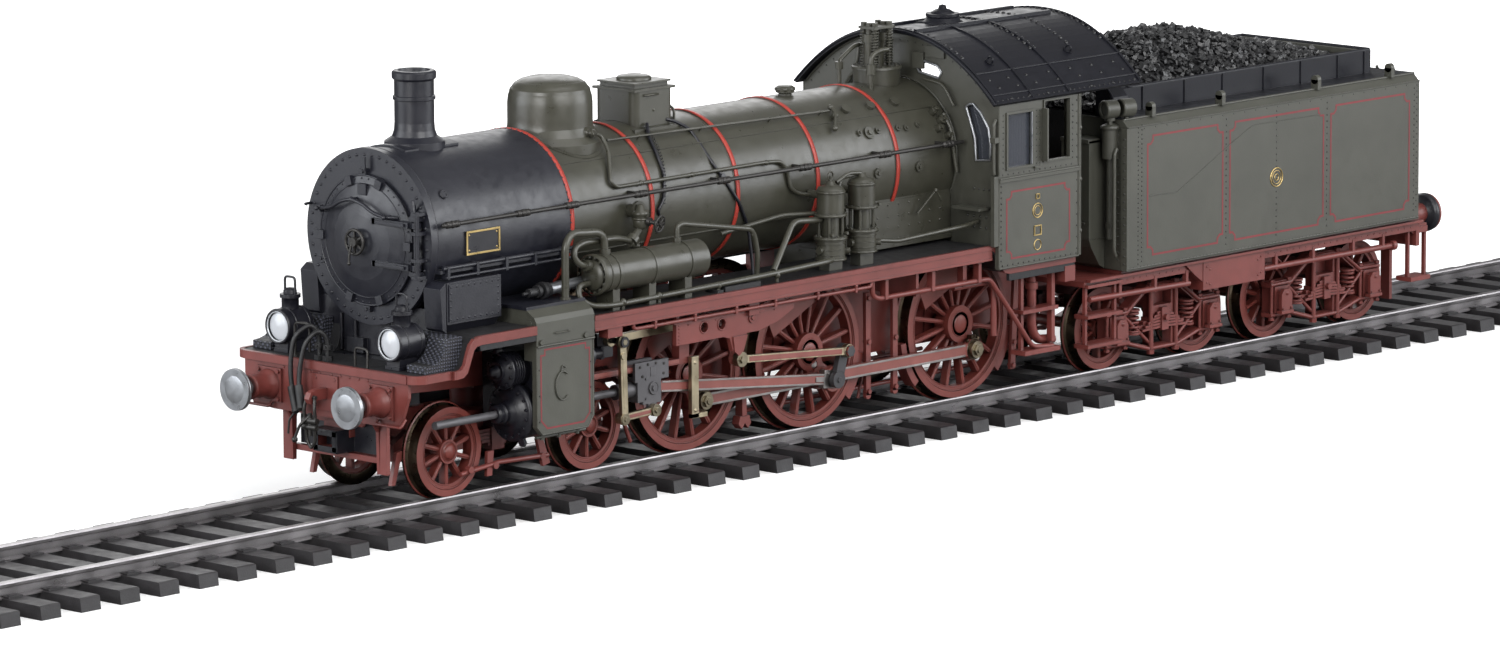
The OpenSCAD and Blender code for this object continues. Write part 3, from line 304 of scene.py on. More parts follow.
WOOD = paint("cab_floor_wood", (0.10, 0.055, 0.03), rough=0.6, vary=0.25, grain=0.2)
LENS = paint("lamp_lens", (0.50, 0.52, 0.55), rough=0.18, vary=0.03, grain=0.03, spec=0.6,
             coat=0.5)
LAMP_RIM = paint("white_rim", (0.50, 0.52, 0.54), rough=0.30, metal=0.4, vary=0.04, grain=0.05)
BLIND = paint("blind_cloth", (0.16, 0.17, 0.21), rough=0.5, vary=0.08, grain=0.25, scale=1.5)
GLASS = glass("window_glass", tint=(0.05, 0.055, 0.068), alpha=0.78)
RUBBER = paint("hose_rubber", (0.006, 0.006, 0.007), rough=0.5, vary=0.12, grain=0.3)
NUT = paint("nut_metal", (0.24, 0.21, 0.15), rough=0.34, metal=1.0, vary=0.15)
TREAD = tread_plate("tread_plate", (0.020, 0.021, 0.027), pitch=0.0023, rough=0.42)

# Paint slot of each material, for when it is the first of its piece.
SLOT = {
    material.name: slot
    for slot, materials in {
        "boiler_green": (BOILER_GREEN, BAND_RED),
        "cab_green": (CAB_GREEN, LINING_RED, WOOD),
        "smokebox_black": (SMOKEBOX_BLACK,),
        "roof_black": (ROOF_BLACK,),
        "board_black": (BOARD_BLACK, TREAD),
        "cylinder_black": (CYLINDER_BLACK, RUBBER),
        "frame_red": (FRAME_RED,),
        "wheel_red": (WHEEL_RED,),
        "rod_red": (ROD_RED,),
        "motion_steel": (TYRE, STEEL, DARK_GREY, CROSSHEAD_GREY, DARK_METAL),
        "motion_nickel": (NICKEL, NUT),
        "buffer_steel": (BUFFER_STEEL, LAMP_RIM),
        "fittings_brass": (BRASS,),
        "coal_black": (COAL_BED,),
        "window_glass": (LENS, BLIND),
    }.items()
    for material in materials
}

# Rivet heads on these paints get a darker copy of the paint: painted shade, standing in for the
# shade round heads too small to show it.
RIVET_SHADE_PAINT = {
    "cab_paint": paint("cab_rivet_painted_shade", (0.021, 0.021, 0.017), rough=0.34, vary=0.06,
                       grain=0.05, bevel=False),
    "roof_paint": paint("roof_rivet_painted_shade", (0.0022, 0.0022, 0.0036), rough=0.30, vary=0.06,
                        grain=0.05, bevel=False),
}
RIVET = 9  # material mark of a rivet head until make() gives it a real index

# ------------------------------------------------------------------ mesh building

BOX_FACES = [(0, 3, 2, 1), (4, 5, 6, 7), (0, 1, 5, 4), (1, 2, 6, 5), (2, 3, 7, 6), (3, 0, 4, 7)]


def axes(direction):
    """Two unit vectors square to a direction, and the unit direction."""
    d = Vector(direction).normalized()
    helper = Vector((0, 0, 1)) if abs(d.z) < 0.9 else Vector((1, 0, 0))
    u = d.cross(helper).normalized()
    return u, d.cross(u).normalized(), d


def ring(center, u, w, radius, seg):
    return [center + u * radius * cos(2 * pi * i / seg) + w * radius * sin(2 * pi * i / seg)
            for i in range(seg)]


def circle(center, radius, count, offset=0.0, side=1, plane="yz"):
    """Points round a circle; side keeps their order the same on a mirrored piece."""
    x, y, z = center
    for i in range(count):
        angle = 2 * pi * (i + offset) / count
        a, b = radius * cos(angle), radius * sin(angle)
        yield (x, y + side * a, z + b) if plane == "yz" else (x + a, y + b, z)


def rounded(points, bend):
    """The path with each inner corner replaced by a curve that starts at most bend away."""
    path = [points[0]]
    for before, corner, after in zip(points, points[1:], points[2:]):
        cut = min(bend, (before - corner).length * 0.49, (after - corner).length * 0.49)
        start = corner + (before - corner).normalized() * cut
        end = corner + (after - corner).normalized() * cut
        for j in range(6):
            t = j / 5
            path.append(start * (1 - t) ** 2 + corner * 2 * t * (1 - t) + end * t * t)
    return path + [points[-1]]


class Part:
    """Collects the faces of one piece, in millimetres.

    y is measured from the centre line towards the current side, for points and for
    directions. Only add() and the axis of a torus take true coordinates.
    """

    def __init__(self, side=1):
        self.verts, self.faces, self.smooth, self.mats = [], [], [], []
        self.side = side

    def sides(self, order=SIDES):
        for self.side in order:
            yield self.side
        self.side = 1

    def true(self, point):
        return Vector((point[0], self.side * point[1], point[2]))

    def add(self, verts, faces, smooth=False, mat=0):
        base = len(self.verts)
        self.verts += [tuple(v) for v in verts]
        self.faces += [[i + base for i in face] for face in faces]
        self.smooth += [smooth] * len(faces)
        self.mats += [mat] * len(faces)

    def add_caps(self, first, last, mat=0):
        count = range(len(first))
        self.add(first, [list(count)[::-1]], False, mat)
        self.add(last, [list(count)], False, mat)

    def box(self, low, high, mat=0, matrix=None):
        (x0, y0, z0), (x1, y1, z1) = low, high
        y0, y1 = sorted((self.side * y0, self.side * y1))
        corners = [Vector(p) for z in (z0, z1)
                   for p in ((x0, y0, z), (x1, y0, z), (x1, y1, z), (x0, y1, z))]
        if matrix is not None:
            corners = [matrix @ p for p in corners]
        self.add(corners, BOX_FACES, mat=mat)

    def cyl(self, start, end, radius, end_radius=None, seg=20, caps=True, mat=0, smooth=True):
        start, end = self.true(start), self.true(end)
        u, w, _ = axes(end - start)
        first = ring(start, u, w, radius, seg)
        last = ring(end, u, w, radius if end_radius is None else end_radius, seg)
        faces = [(i, (i + 1) % seg, seg + (i + 1) % seg, seg + i) for i in range(seg)]
        self.add(first + last, faces, smooth, mat)
        if caps:
            self.add_caps(first, last, mat)

    def tube(self, points, radius, seg=8, bend=0.0):
        path = [self.true(p) for p in points]
        if bend > 0:
            path = rounded(path, bend)
        rings, u = [], None
        for i, p in enumerate(path):
            d = path[min(i + 1, len(path) - 1)] - path[max(i - 1, 0)]
            d.normalize()
            u = axes(d)[0] if u is None else u
            u = u - d * u.dot(d)
            if u.length < 1e-6:  # the path turned square, into the old ring direction
                u = axes(d)[0]
            u.normalize()
            rings.append(ring(p, u, d.cross(u), radius, seg))
        faces = [(i * seg + j, i * seg + (j + 1) % seg,
                  (i + 1) * seg + (j + 1) % seg, (i + 1) * seg + j)
                 for i in range(len(rings) - 1) for j in range(seg)]
        self.add([v for loop in rings for v in loop], faces, True)
        self.add_caps(rings[0], rings[-1])

    def lathe(self, profile, origin, axis=UP, seg=40, closed=False):
        """Turns a profile of (radius, height along the axis)."""
        origin = self.true(origin)
        u, w, d = axes(self.true(axis))
        verts = []
        for r, h in profile:
            for i in range(seg):
                a = 2 * pi * i / seg
                verts.append(origin + d * h + u * r * cos(a) + w * r * sin(a))
        rows = len(profile)
        faces = []
        for j in range(rows if closed else rows - 1):
            k = (j + 1) % rows
            for i in range(seg):
                n = (i + 1) % seg
                faces.append((j * seg + i, j * seg + n, k * seg + n, k * seg + i))
        self.add(verts, faces, True)

    def prism(self, outline, plane, start, end):
        """Outline in plane 'xz', 'yz' or 'xy', drawn out along the other axis."""
        if plane == "xz":
            start, end = sorted((self.side * start, self.side * end))
        place = {
            "xz": lambda p, t: (p[0], t, p[1]),
            "yz": lambda p, t: (t, self.side * p[0], p[1]),
            "xy": lambda p, t: (p[0], self.side * p[1], t),
        }[plane]
        first = [place(p, start) for p in outline]
        last = [place(p, end) for p in outline]
        n = len(outline)
        self.add(first + last, [(i, (i + 1) % n, n + (i + 1) % n, n + i) for i in range(n)])
        self.add_caps(first, last)

    def torus(self, center, axis, radius, thick, seg, tube_seg=6):
        center = self.true(center)
        u, w, d = axes(axis)
        verts = []
        for i in range(seg):
            a = 2 * pi * i / seg
            e = u * cos(a) + w * sin(a)
            for j in range(tube_seg):
                b = 2 * pi * j / tube_seg
                verts.append(center + e * (radius + thick * cos(b)) + d * thick * sin(b))
        faces = []
        for i in range(seg):
            here, there = i * tube_seg, (i + 1) % seg * tube_seg
            for j in range(tube_seg):
                k = (j + 1) % tube_seg
                faces.append((here + j, there + j, there + k, here + k))
        self.add(verts, faces, True)

    def sphere(self, center, radius, seg=12, rows=8):
        center = self.true(center)
        verts = []
        for j in range(rows + 1):
            t = pi * j / rows
            for i in range(seg):
                a = 2 * pi * i / seg
                offset = (radius * sin(t) * cos(a), radius * sin(t) * sin(a), radius * cos(t))
                verts.append(center + Vector(offset))
        faces = [(j * seg + i, (j + 1) * seg + i, (j + 1) * seg + (i + 1) % seg,
                  j * seg + (i + 1) % seg) for j in range(rows) for i in range(seg)]
        self.add(verts, faces, True)

    def rivet(self, point, normal, radius, mat=RIVET):
        """A round head with seven sides."""
        radius = max(radius * 1.35, 0.38)
        height, n = 0.6, 7
        p = self.true(point)
        u, w, d = axes(self.true(normal))
        turns = [2 * pi * i / n for i in range(n)]
        verts = [v - d * 0.05 for v in ring(p, u, w, radius, n)]
        verts += [p + (u * cos(a) + w * sin(a)) * radius * 0.68 + d * radius * height * 0.8
                  for a in turns]
        verts.append(p + d * radius * height * 1.15)
        faces = [(i, (i + 1) % n, n + (i + 1) % n, n + i) for i in range(n)]
        faces += [(n + i, n + (i + 1) % n, 2 * n) for i in range(n)]
        self.add(verts, faces, True, mat)

    def rivets(self, points, normal, radius):
        for point in points:
            self.rivet(point, normal, radius)

    def bolt(self, point, normal, radius, height):
        point, d = Vector(point), Vector(normal).normalized()
        self.nut(point - d * 0.05, point + d * height, radius)

    def bolts(self, points, normal, radius, height):
        for point in points:
            self.bolt(point, normal, radius, height)

    def nut(self, start, end, radius):
        self.cyl(start, end, radius, seg=6, smooth=False)

    def strip(self, points, width, normal, lift):
        """A closed painted line, lifted off its surface along the normal."""
        points, normal = [self.true(p) for p in points], self.true(normal).normalized()
        n = len(points)
        verts = []
        for i, p in enumerate(points):
            onward = (points[(i + 1) % n] - p).normalized()
            along = ((p - points[i - 1]).normalized() + onward).normalized()
            out = normal.cross(along).normalized()
            miter = max(0.4, abs(out.dot(normal.cross(onward).normalized())))
            verts += [p + normal * lift + out * (width / 2 / miter),
                      p + normal * lift - out * (width / 2 / miter)]
        faces = []
        for i in range(n):
            j = (i + 1) % n
            faces.append((2 * i, 2 * i + 1, 2 * j + 1, 2 * j))
        self.add(verts, faces)

    def lift(self, height):
        self.verts = [(x, y, z + height) for x, y, z in self.verts]


def mesh_object(name, part, materials):
    mesh = bpy.data.meshes.new(name)
    mesh.from_pydata([(x * MM, y * MM, z * MM) for x, y, z in part.verts], [], part.faces)
    for material in materials:
        mesh.materials.append(material)
    obj = bpy.data.objects.new(name, mesh)
    bpy.context.scene.collection.objects.link(obj)
    return obj


def make(name, part, body, *materials, bevel=0.0, slot=None, replaces=None):
    """Makes the object and ties it to its moving body; the paint slot is worked out but not used.
    """
    default_slot = SLOT[materials[0].name]
    # rivet heads on cab and roof paint take the darker copy, as painted shade
    head = RIVET_SHADE_PAINT.get(materials[0].name) if RIVET in part.mats else None
    rivet_index = len(materials) if head else 0
    if head:
        materials += (head,)
    obj = mesh_object(name, part, materials)
    polygons = obj.data.polygons
    polygons.foreach_set("use_smooth", part.smooth)
    polygons.foreach_set("material_index", [rivet_index if m == RIVET else m for m in part.mats])
    obj.data.update()
    if bevel > 0:
        edge = obj.modifiers.new("edge", "BEVEL")
        edge.width = bevel * MM
        edge.segments = 2
        edge.limit_method = "ANGLE"
        edge.angle_limit = radians(38)
    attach(obj, body)
    slot or default_slot
    if replaces:
        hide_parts(replaces)


def piece(body, *materials, **options):
    """Builds the decorated function's piece at once, under the function's name."""
    def build(draw):
        part = Part()
        draw(part)
        make(draw.__name__, part, body, *materials, **options)
        return draw
    return build


def per_side(body, *materials, **options):
    """Turns a drawing function into a builder for one side; {} in body becomes l or r."""
    def wrap(draw):
        def build(side):
            part = Part(side)
            draw(part, side)
            tag = SIDE_NAME[side]
            make(f"{draw.__name__}_{tag}", part, body.format(tag), *materials, **options)
        return build
    return wrap


def build_sides(*builders):
    for side in SIDES:
        for build in builders:
            build(side)


def barrel_point(x, degrees, radius=BARREL_R):
    """Point round the boiler, measured from its top towards the current side."""
    a = radians(degrees)
    return (x, radius * sin(a), BOILER_Z + radius * cos(a))


def barrel_path(*stations):
    """Path through stations of (x, degrees from the top, radius)."""
    return [barrel_point(*station) for station in stations]


def barrel_normal(point):
    return Vector((0, point[1], point[2] - BOILER_Z)).normalized()


# ------------------------------------------------------------------ CAD nodes

NODE_MATERIAL = {
    node: material
    for material, nodes in (
        (FRAME_RED, "frame slide_bars cab_steps bogie_frame tender_frame tender_bogie_1 "
                    "tender_bogie_2"),
        (BOARD_BLACK, "running_board"),
        (CYLINDER_BLACK, "cylinders front_lamps"),
        (CAB_GREEN, "cylinder_casings cab tender_tank"),
        (BOILER_GREEN, "boiler steam_dome sand_dome safety_valves feed_pumps"),
        (SMOKEBOX_BLACK, "smokebox chimney smokebox_door"),
        (DARK_METAL, "handrails door_wheel"),
        (ROOF_BLACK, "cab_roof water_lid"),
        (GLASS, "cab_glass"),
        (BUFFER_STEEL, "buffer_front_l buffer_front_r"),
        (COAL_BED, "coal_load"),
    )
    for node in nodes.split()
}


def node_material(name):
    if name in NODE_MATERIAL:
        return NODE_MATERIAL[name]
    if "wheels" in name or "drivers" in name:
        return WHEEL_RED
    if name.startswith(("side_rod", "main_rod", "expansion_link")):
        return ROD_RED
    if name.startswith(("eccentric", "combination", "union", "radius")):
        return NICKEL
    return CROSSHEAD_GREY if name.startswith("crosshead") else STEEL


def smooth_by_angle(obj, degrees=32):
    """Smooth shading, with sharp edges where the faces meet at more than the angle."""
    mesh = obj.data
    mesh.polygons.foreach_set("use_smooth", [True] * len(mesh.polygons))
    work = bmesh.new()
    work.from_mesh(mesh)
    limit = radians(degrees)
    sharp = [len(e.link_faces) != 2 or e.calc_face_angle(0) > limit for e in work.edges]
    work.free()
    marks = mesh.attributes.get("sharp_edge")
    marks = marks or mesh.attributes.new("sharp_edge", "BOOLEAN", "EDGE")
    marks.data.foreach_set("value", sharp)
    mesh.update()


for node_name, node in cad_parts.items():
    node.data.materials.clear()
    node.data.materials.append(node_material(node_name))
    smooth_by_angle(node)

# ------------------------------------------------------------------ stage


def floor_material():
    """Pale and faintly glowing to the camera, darker to everything else."""
    material, tree, shader = new_material("floor_pale")
    cloud = add_node(tree, "ShaderNodeTexNoise", {"Scale": 3}).outputs["Fac"]
    pale = map_range(tree, cloud, (0, 1), (0.84, 0.90))
    seen = add_node(tree, "ShaderNodeLightPath").outputs["Is Camera Ray"]
    place = add_node(tree, "ShaderNodeNewGeometry").outputs["Position"]
    distance = add_node(tree, "ShaderNodeVectorMath", {0: place}, operation="LENGTH")
    glow = map_range(tree, distance.outputs["Value"], (0.42, 1.0), (0.30, 1.15))
    set_inputs(tree, shader, {
        "Base Color": mix(tree, seen, (0.24, 0.235, 0.23, 1), pale),
        "Roughness": 0.8,
        "Specular IOR Level": 0.2,
        "Emission Color": (1, 1, 1, 1),
        "Emission Strength": calc(tree, "MULTIPLY", seen, glow),
    })
    return material


def floor():
    part = Part()
    corners = [(-1600, -1500), (2600, -1500), (2600, 1600), (-1600, 1600)]
    part.add([(x, y, -9.5) for x, y in corners], [(0, 1, 2, 3)])
    mesh_object("floor", part, [floor_material()])


TRACK_START, TRACK_END = -420, 520
# Rail section: distance from the rail's middle, height.
RAIL_SECTION = [(-1.35, 0), (1.35, 0), (1.45, -0.5), (1.3, -1.5), (0.45, -1.9), (0.45, -4.2),
                (2.4, -4.7), (2.4, -5.2), (-2.4, -5.2), (-2.4, -4.7), (-0.45, -4.2),
                (-0.45, -1.9), (-1.3, -1.5), (-1.45, -0.5)]


def rails():
    part = Part()
    for side in SIDES:
        outline = [(side * RAIL_Y + y, z - 0.02) for y, z in RAIL_SECTION]
        part.prism(outline, "yz", TRACK_START, TRACK_END)
    metal = paint("rail_metal", (0.30, 0.285, 0.29), rough=0.34, metal=0.85, vary=0.07,
                  grain=0.05, bevel=False, scale=0.5, dark=0.75)
    mesh_object("rail_pair", part, [metal])


def sleepers():
    part = Part()
    chance = random.Random(4)
    section = [(-45.5, -9.4), (-44.9, -5.0), (-44.2, -4.7), (44.2, -4.7), (44.9, -5.0),
               (45.5, -9.4)]
    pitch, x = 17.4, float(TRACK_START)
    while x < TRACK_END:
        shift = chance.uniform(-0.15, 0.15)
        part.prism(section, "yz", x + shift, x + 8.6 + shift)
        for side in part.sides():
            part.box((x + 1.2, RAIL_Y - 4.4, -5.0), (x + 7.4, RAIL_Y + 4.4, -4.1))
            for edge in (-1, 1):
                y = RAIL_Y + side * edge * 2.9
                part.box((x + 2.2, y - 0.7, -5.0), (x + 5.4, y + 0.7, -3.9))
        x += pitch
    plastic = paint("sleeper_plastic", (0.016, 0.0145, 0.016), rough=0.5, vary=0.25, grain=0.4,
                    bevel=False)
    mesh_object("sleepers", part, [plastic])


def studio_world():
    """Bright overhead and dark at the horizon for the light; plain white to the camera."""
    world = bpy.data.worlds.new("studio")
    bpy.context.scene.world = world
    world.use_nodes = True
    tree = world.node_tree
    direction = add_node(tree, "ShaderNodeTexCoord").outputs["Generated"]
    height = map_range(tree, split_xyz(tree, direction)["Z"], (-1, 1), (0, 1))
    ramp = add_node(tree, "ShaderNodeValToRGB", {"Fac": height})
    low, high = ramp.color_ramp.elements
    low.position, low.color = 0.50, (0.10, 0.10, 0.105, 1)
    high.position, high.color = 0.92, (1, 1, 1, 1)
    seen = add_node(tree, "ShaderNodeLightPath").outputs["Is Camera Ray"]
    colour = mix(tree, seen, ramp.outputs["Color"], (2.4, 2.4, 2.4, 1))
    set_inputs(tree, tree.nodes["Background"], {"Color": colour, "Strength": 0.42})


def area_light(name, at, aim, size, power, color=(1, 1, 1), size_y=None):
    light = bpy.data.lights.new(name, "AREA")
    light.energy = power
    light.color = color
    light.shape = "RECTANGLE"
    light.size = size
    light.size_y = size_y or size
    obj = bpy.data.objects.new(name, light)
    obj.location = at
    obj.rotation_euler = (Vector(aim) - Vector(at)).to_track_quat("-Z", "Y").to_euler()
    bpy.context.scene.collection.objects.link(obj)


def camera():
    turn, rise, roll = radians(-46.6351589), radians(9.67566455), radians(-0.28086381)
    back = Vector((sin(turn) * cos(rise), -cos(turn) * cos(rise), sin(rise)))
    right = Vector((cos(turn), sin(turn), 0))
    up = back.cross(right)
    pose = Matrix((right * cos(roll) + up * sin(roll), -right * sin(roll) + up * cos(roll), back))
    pose = pose.transposed().to_4x4()
    pose.translation = Vector((-2.13369177515, -2.00616081553, 0.5267970308))
    lens = bpy.data.cameras.new("photo_angle")
    lens.sensor_width = 36
    lens.lens = 198.38426976
    lens.shift_x = 0.009067666667
    lens.shift_y = 0.013414666667
    lens.clip_end = 50
    obj = bpy.data.objects.new("photo_angle", lens)
    obj.matrix_world = pose
    bpy.context.scene.collection.objects.link(obj)
    bpy.context.scene.camera = obj


floor()
rails()
sleepers()
studio_world()
area_light("key", at=(-0.25, -1.15, 0.62), aim=(0.04, 0, 0.06), size=0.9, power=13.5)
area_light("side_fill", at=(1.2, -1.3, 0.42), aim=(0.03, 0, 0.07), size=1.3, power=26,
           color=(0.95, 0.97, 1.0))
area_light("front_fill", at=(-1.35, 0.85, 0.42), aim=(-0.15, 0, 0.07), size=1.0, power=16,
           color=(0.93, 0.96, 1.0))
area_light("top", at=(0.0, -0.45, 1.1), aim=(0.05, 0, 0.05), size=1.2, power=2.6, size_y=0.3)
area_light("front", at=(-1.35, -0.35, 0.42), aim=(-0.1, 0, 0.07), size=0.55, power=11)
area_light("back", at=(0.7, 0.9, 0.6), aim=(0.05, 0, 0.08), size=0.8, power=4)
camera()
bpy.context.scene.view_settings.view_transform = "Standard"
bpy.context.scene.view_settings.look = "None"

# ------------------------------------------------------------------ smokebox


def chest_cover(part):
    """Pipes, side cover plate with its screws, and saddle flange of one side."""
    part.tube([(-187, 32.0, 77.2), (-124, 32.0, 77.2)], 0.55)
    part.tube([(-188, 31.6, 80.4), (-124.5, 31.6, 80.4)], 0.75)
    for x in (-186, -172, -158, -144, -130):
        part.box((x - 0.6, 29.5, 76.6), (x + 0.6, 32.6, 81.1))
    plate_y = 34.8
    part.box((-188.2, 34.3, 62.4), (-164.0, plate_y, 75.2))
    rows = [(-187.4 + i * 2.84, plate_y, z) for i in range(9) for z in (74.4, 63.2)]
    ends = [(x, plate_y, 63.2 + i * 2.24) for i in range(1, 5) for x in (-187.4, -164.7)]
    part.rivets(rows + ends, OUT, 0.3)
    part.box((-184.6, 15.4, 58.5), (-128, 20, 59.8))
    part.bolts([(-183 + i * 4.1, 18.6, 59.8) for i in range(14)], UP, 0.55, 0.5)


def ring_clamps(part):
    for degrees in (22, 93, 160, 201, 270, 338):
        a = radians(degrees)
        p = Vector((-192.6, -23.7 * cos(a), DOOR_Z + 23.7 * sin(a)))
        turned = Matrix.Translation(p) @ Matrix.Rotation(-a, 4, "X")
        part.box((-1.1, -1.0, -1.5), (0.9, 1.0, 1.5), matrix=turned)
        part.cyl(p + Vector((-1.6, 0, 0)), p + Vector((0.4, 0, 0)), 0.6, seg=10)


@piece("engine", SMOKEBOX_BLACK)
def smokebox_fittings(part):
    part.rivets(circle((-192.1, 0, BOILER_Z), 28.2, 48, offset=0.5), FRONT, 0.52)
    for i in range(70):
        a = 2 * pi * i / 70
        if sin(a) > -0.8:
            point = (-124.2, SMOKEBOX_R * cos(a), BOILER_Z + SMOKEBOX_R * sin(a))
            part.rivet(point, (0, cos(a), sin(a)), 0.34)
    # beads round the front and the rear
    part.torus((-188.9, 0, BOILER_Z), BACK, SMOKEBOX_R + 0.45, 0.3, 72)
    part.torus((-123.2, 0, BOILER_Z), BACK, SMOKEBOX_R - 0.1, 0.3, 72)
    for _ in part.sides():
        chest_cover(part)
    # flared saddle and its cheeks at the front
    saddle = [(-31, 58.4), (31, 58.4), (34.4, 62.6), (-34.4, 62.6)]
    part.prism(saddle[::-1], "yz", -189.0, -163.0)
    part.prism([(-26, 58.4), (26, 58.4), (30, 64), (-30, 64)][::-1], "yz", -163.0, -128.0)
    cheek = [(-189.2, 62), (-189.2, 76), (-192.0, 74), (-191.0, 60), (-189.2, 58.6)]
    for _ in part.sides((1, -1)):
        part.prism(cheek, "xz", 26, 34.2)
    # lamp iron on top of the ring
    part.box((-194.4, -0.8, 111.6), (-192.0, 0.8, 112.2))
    part.box((-194.4, -0.7, 112.0), (-193.9, 0.7, 116.4))
    # round plugs on the shoulders
    for _ in part.sides((1, -1)):
        p = barrel_point(-181.5, 58, SMOKEBOX_R)
        normal = barrel_normal(p)
        part.cyl(p, Vector(p) + normal * 0.5, 1.7)
        part.torus(Vector(p) + normal * 0.5, part.true(normal), 1.3, 0.28, 20)
    for _ in part.sides():
        part.box((-157.9, 20, 63.4), (-129.1, 41.4, 64.5))
    ring_clamps(part)
    # fixed ends of the front rail
    part.tube([(-192, 28.4, 97.6), (-195.2, 28.2, 97.7), (-195.8, 26.8, 97.7)], 0.5, bend=0.8)
    part.tube([(-192, -23.0, 99.2), (-195.0, -24.6, 104.2), (-195.2, -25.4, 99.5)], 0.45,
              bend=0.6)


@piece("engine", SMOKEBOX_BLACK)
def hinge_post_rail(part):
    part.tube([(-195.6, -27.2, 77.0), (-195.6, -27.2, 100.4)], 0.7)
    for z in (77.6, 83.5, 92.8, 99.4):
        part.box((-196.2, -27.9, z - 0.6), (-191.8, -24.6, z + 0.6))


DOOR_RAIL = [(-194.0, 20.6, 95.9), (-196.6, 20.0, 97.4), (-197.4, 17.0, 97.6),
             (-198.0, 12.0, 98.6), (-198.4, 7.5, 101.0), (-198.5, 2.2, 102.3),
             (-198.4, -3.4, 101.2), (-198.2, -8.0, 98.6), (-197.4, -12.6, 97.4),
             (-196.6, -15.4, 97.4), (-194.2, -16.4, 97.0)]


@piece("smokebox_door", SMOKEBOX_BLACK)
def door_fittings(part):
    part.rivets(circle((-193.7, 0, DOOR_Z), 21.4, 40, offset=0.5), FRONT, 0.3)
    part.torus((-193.35, 0, DOOR_Z), BACK, 22.4, 0.4, 80)
    part.torus((-194.0, 0, DOOR_Z), BACK, 19.6, 0.22, 72)
    part.tube(DOOR_RAIL, 0.62, seg=10, bend=2.0)
    for y, z in ((19.4, 97.4), (2.2, 102.3), (-13.4, 97.4)):
        part.cyl((-194.0, y, z), (-198.2, y, z), 0.45, seg=10)
        part.sphere((-198.2, y, z), 0.85)
    # hinge straps
    for z in (80.8, 95.4):
        part.box((-197.3, -22, z - 0.55), (-196.4, -8, z + 0.55))
        part.rivets([(-196.6, y, z) for y in (-10, -14, -18)], FRONT, 0.4)
        part.cyl((-196.6, -6.6, z), (-195.6, -6.6, z), 1.2, seg=16)


@piece("door_wheel", DARK_METAL)
def hand_wheel_rim(part):
    part.torus((-199.0, 0, DOOR_Z), BACK, 4.2, 0.56, 40, 10)
    part.cyl((-200.2, 0, DOOR_Z), (-196.8, 0, DOOR_Z), 1.35, seg=16)
    part.tube([(-199.9, 0.4, DOOR_Z), (-200.6, 0.9, 84.0), (-200.8, 1.0, 80.6)], 0.42)
    part.sphere((-200.8, 1.0, 80.4), 0.7)


@per_side("engine", CYLINDER_BLACK, BRASS, slot="fittings_brass")
def number_plate(part, side):
    """Blank plate with a raised brass border."""
    x0, x1, z0, z1, border = -175.5, -159.3, 83.4, 91.7, 0.7
    part.box((x0, 29.2, z0), (x1, 30.35, z1))
    for xa, xb, za, zb in (
        (x0, x1, z1 - border, z1), (x0, x1, z0, z0 + border),
        (x0, x0 + border, z0 + border, z1 - border), (x1 - border, x1, z0 + border, z1 - border),
    ):
        part.box((xa, 30.3, za), (xb, 30.62, zb), mat=1)
    for x in (-174.0, -160.8):
        for z in (85.0, 90.2):
            part.rivet((x, 30.35, z), OUT, 0.28, mat=1)


build_sides(number_plate)

# ------------------------------------------------------------------ front end


@per_side("engine", CYLINDER_BLACK, slot="lamp_black")
def lamp_shell(part, side):
    y = LAMP_Y
    part.torus((-209.5, y, LAMP_Z), BACK, 5.65, 0.55, 44, 8)
    part.torus((-206.2, y, LAMP_Z), BACK, 6.1, 0.25, 44)
    part.torus((-200.0, y, LAMP_Z), BACK, 6.1, 0.25, 44)
    part.lathe([(3.0, 0), (3.0, 3.6), (3.5, 3.7), (3.5, 4.4), (2.4, 4.8), (2.3, 6.2), (1.2, 7.0),
                (0, 7.2)], (-203.6, y, 62.6), seg=24)
    reach = side * 2.5
    part.tube([(-203.6, y - reach, 64), (-203.6, y - reach, 73.4), (-203.6, y + reach, 73.4),
               (-203.6, y + reach, 64)], 0.42, bend=1.4)
    part.box((-208.4, y - 3.4, 47.7), (-198.8, y + 3.4, 49.0))
    part.cyl((-198.4, y, LAMP_Z), (-197.2, y, LAMP_Z), 4.2, 3.4, seg=28)
    part.cyl((-207.0, y - 0.2, 50.2), (-201, y, 50.2), 1.5, seg=12)


@per_side("engine", LENS)
def lamp_lens(part, side):
    part.lathe([(0, -0.55), (2.6, -0.35), (4.4, 0.0), (5.1, 0.45), (5.2, 1.2), (0, 1.2)],
               (-209.1, LAMP_Y, LAMP_Z), BACK)


@per_side("engine", LAMP_RIM)
def lamp_bezel(part, side):
    part.torus((-209.62, LAMP_Y, LAMP_Z), BACK, 5.15, 0.28, 44)


build_sides(lamp_shell, lamp_lens, lamp_bezel)


@piece("engine", TREAD, bevel=0.25)
def tread_plates(part):
    outer = [(-189.8, 47.55), (-189.8, 58.75), (-196.7, 58.75), (-197.9, 55.4), (-199.4, 52.8),
             (-201.6, 51.2), (-204.2, 50.5), (-207.3, 50.2), (-207.3, 47.65)]
    inner = [(-189.8, 47.6), (-189.8, 58.7), (-193.8, 58.7), (-196.4, 53.0), (-198.6, 50.2),
             (-199.6, 47.6)]
    for _ in part.sides():
        part.prism(outer, "xz", 33.3, 42.3)
        part.prism(inner, "xz", 20.5, 33.3)


@piece("engine", CYLINDER_BLACK)
def front_apron(part):
    part.box((-189.6, -33.3, 47.6), (-188.2, 33.3, 66.0))
    part.box((-197.4, -33.4, 45.6), (-186.0, 33.4, 47.4))
    for _ in part.sides():
        part.tube([(-190.2, 16, 47.8), (-190.2, 16, 60.5)], 0.6)
        part.tube([(-190.2, 9, 47.8), (-190.2, 9, 60.0)], 0.8)
        part.box((-191.6, 4, 47.8), (-189.6, 12, 53.0))


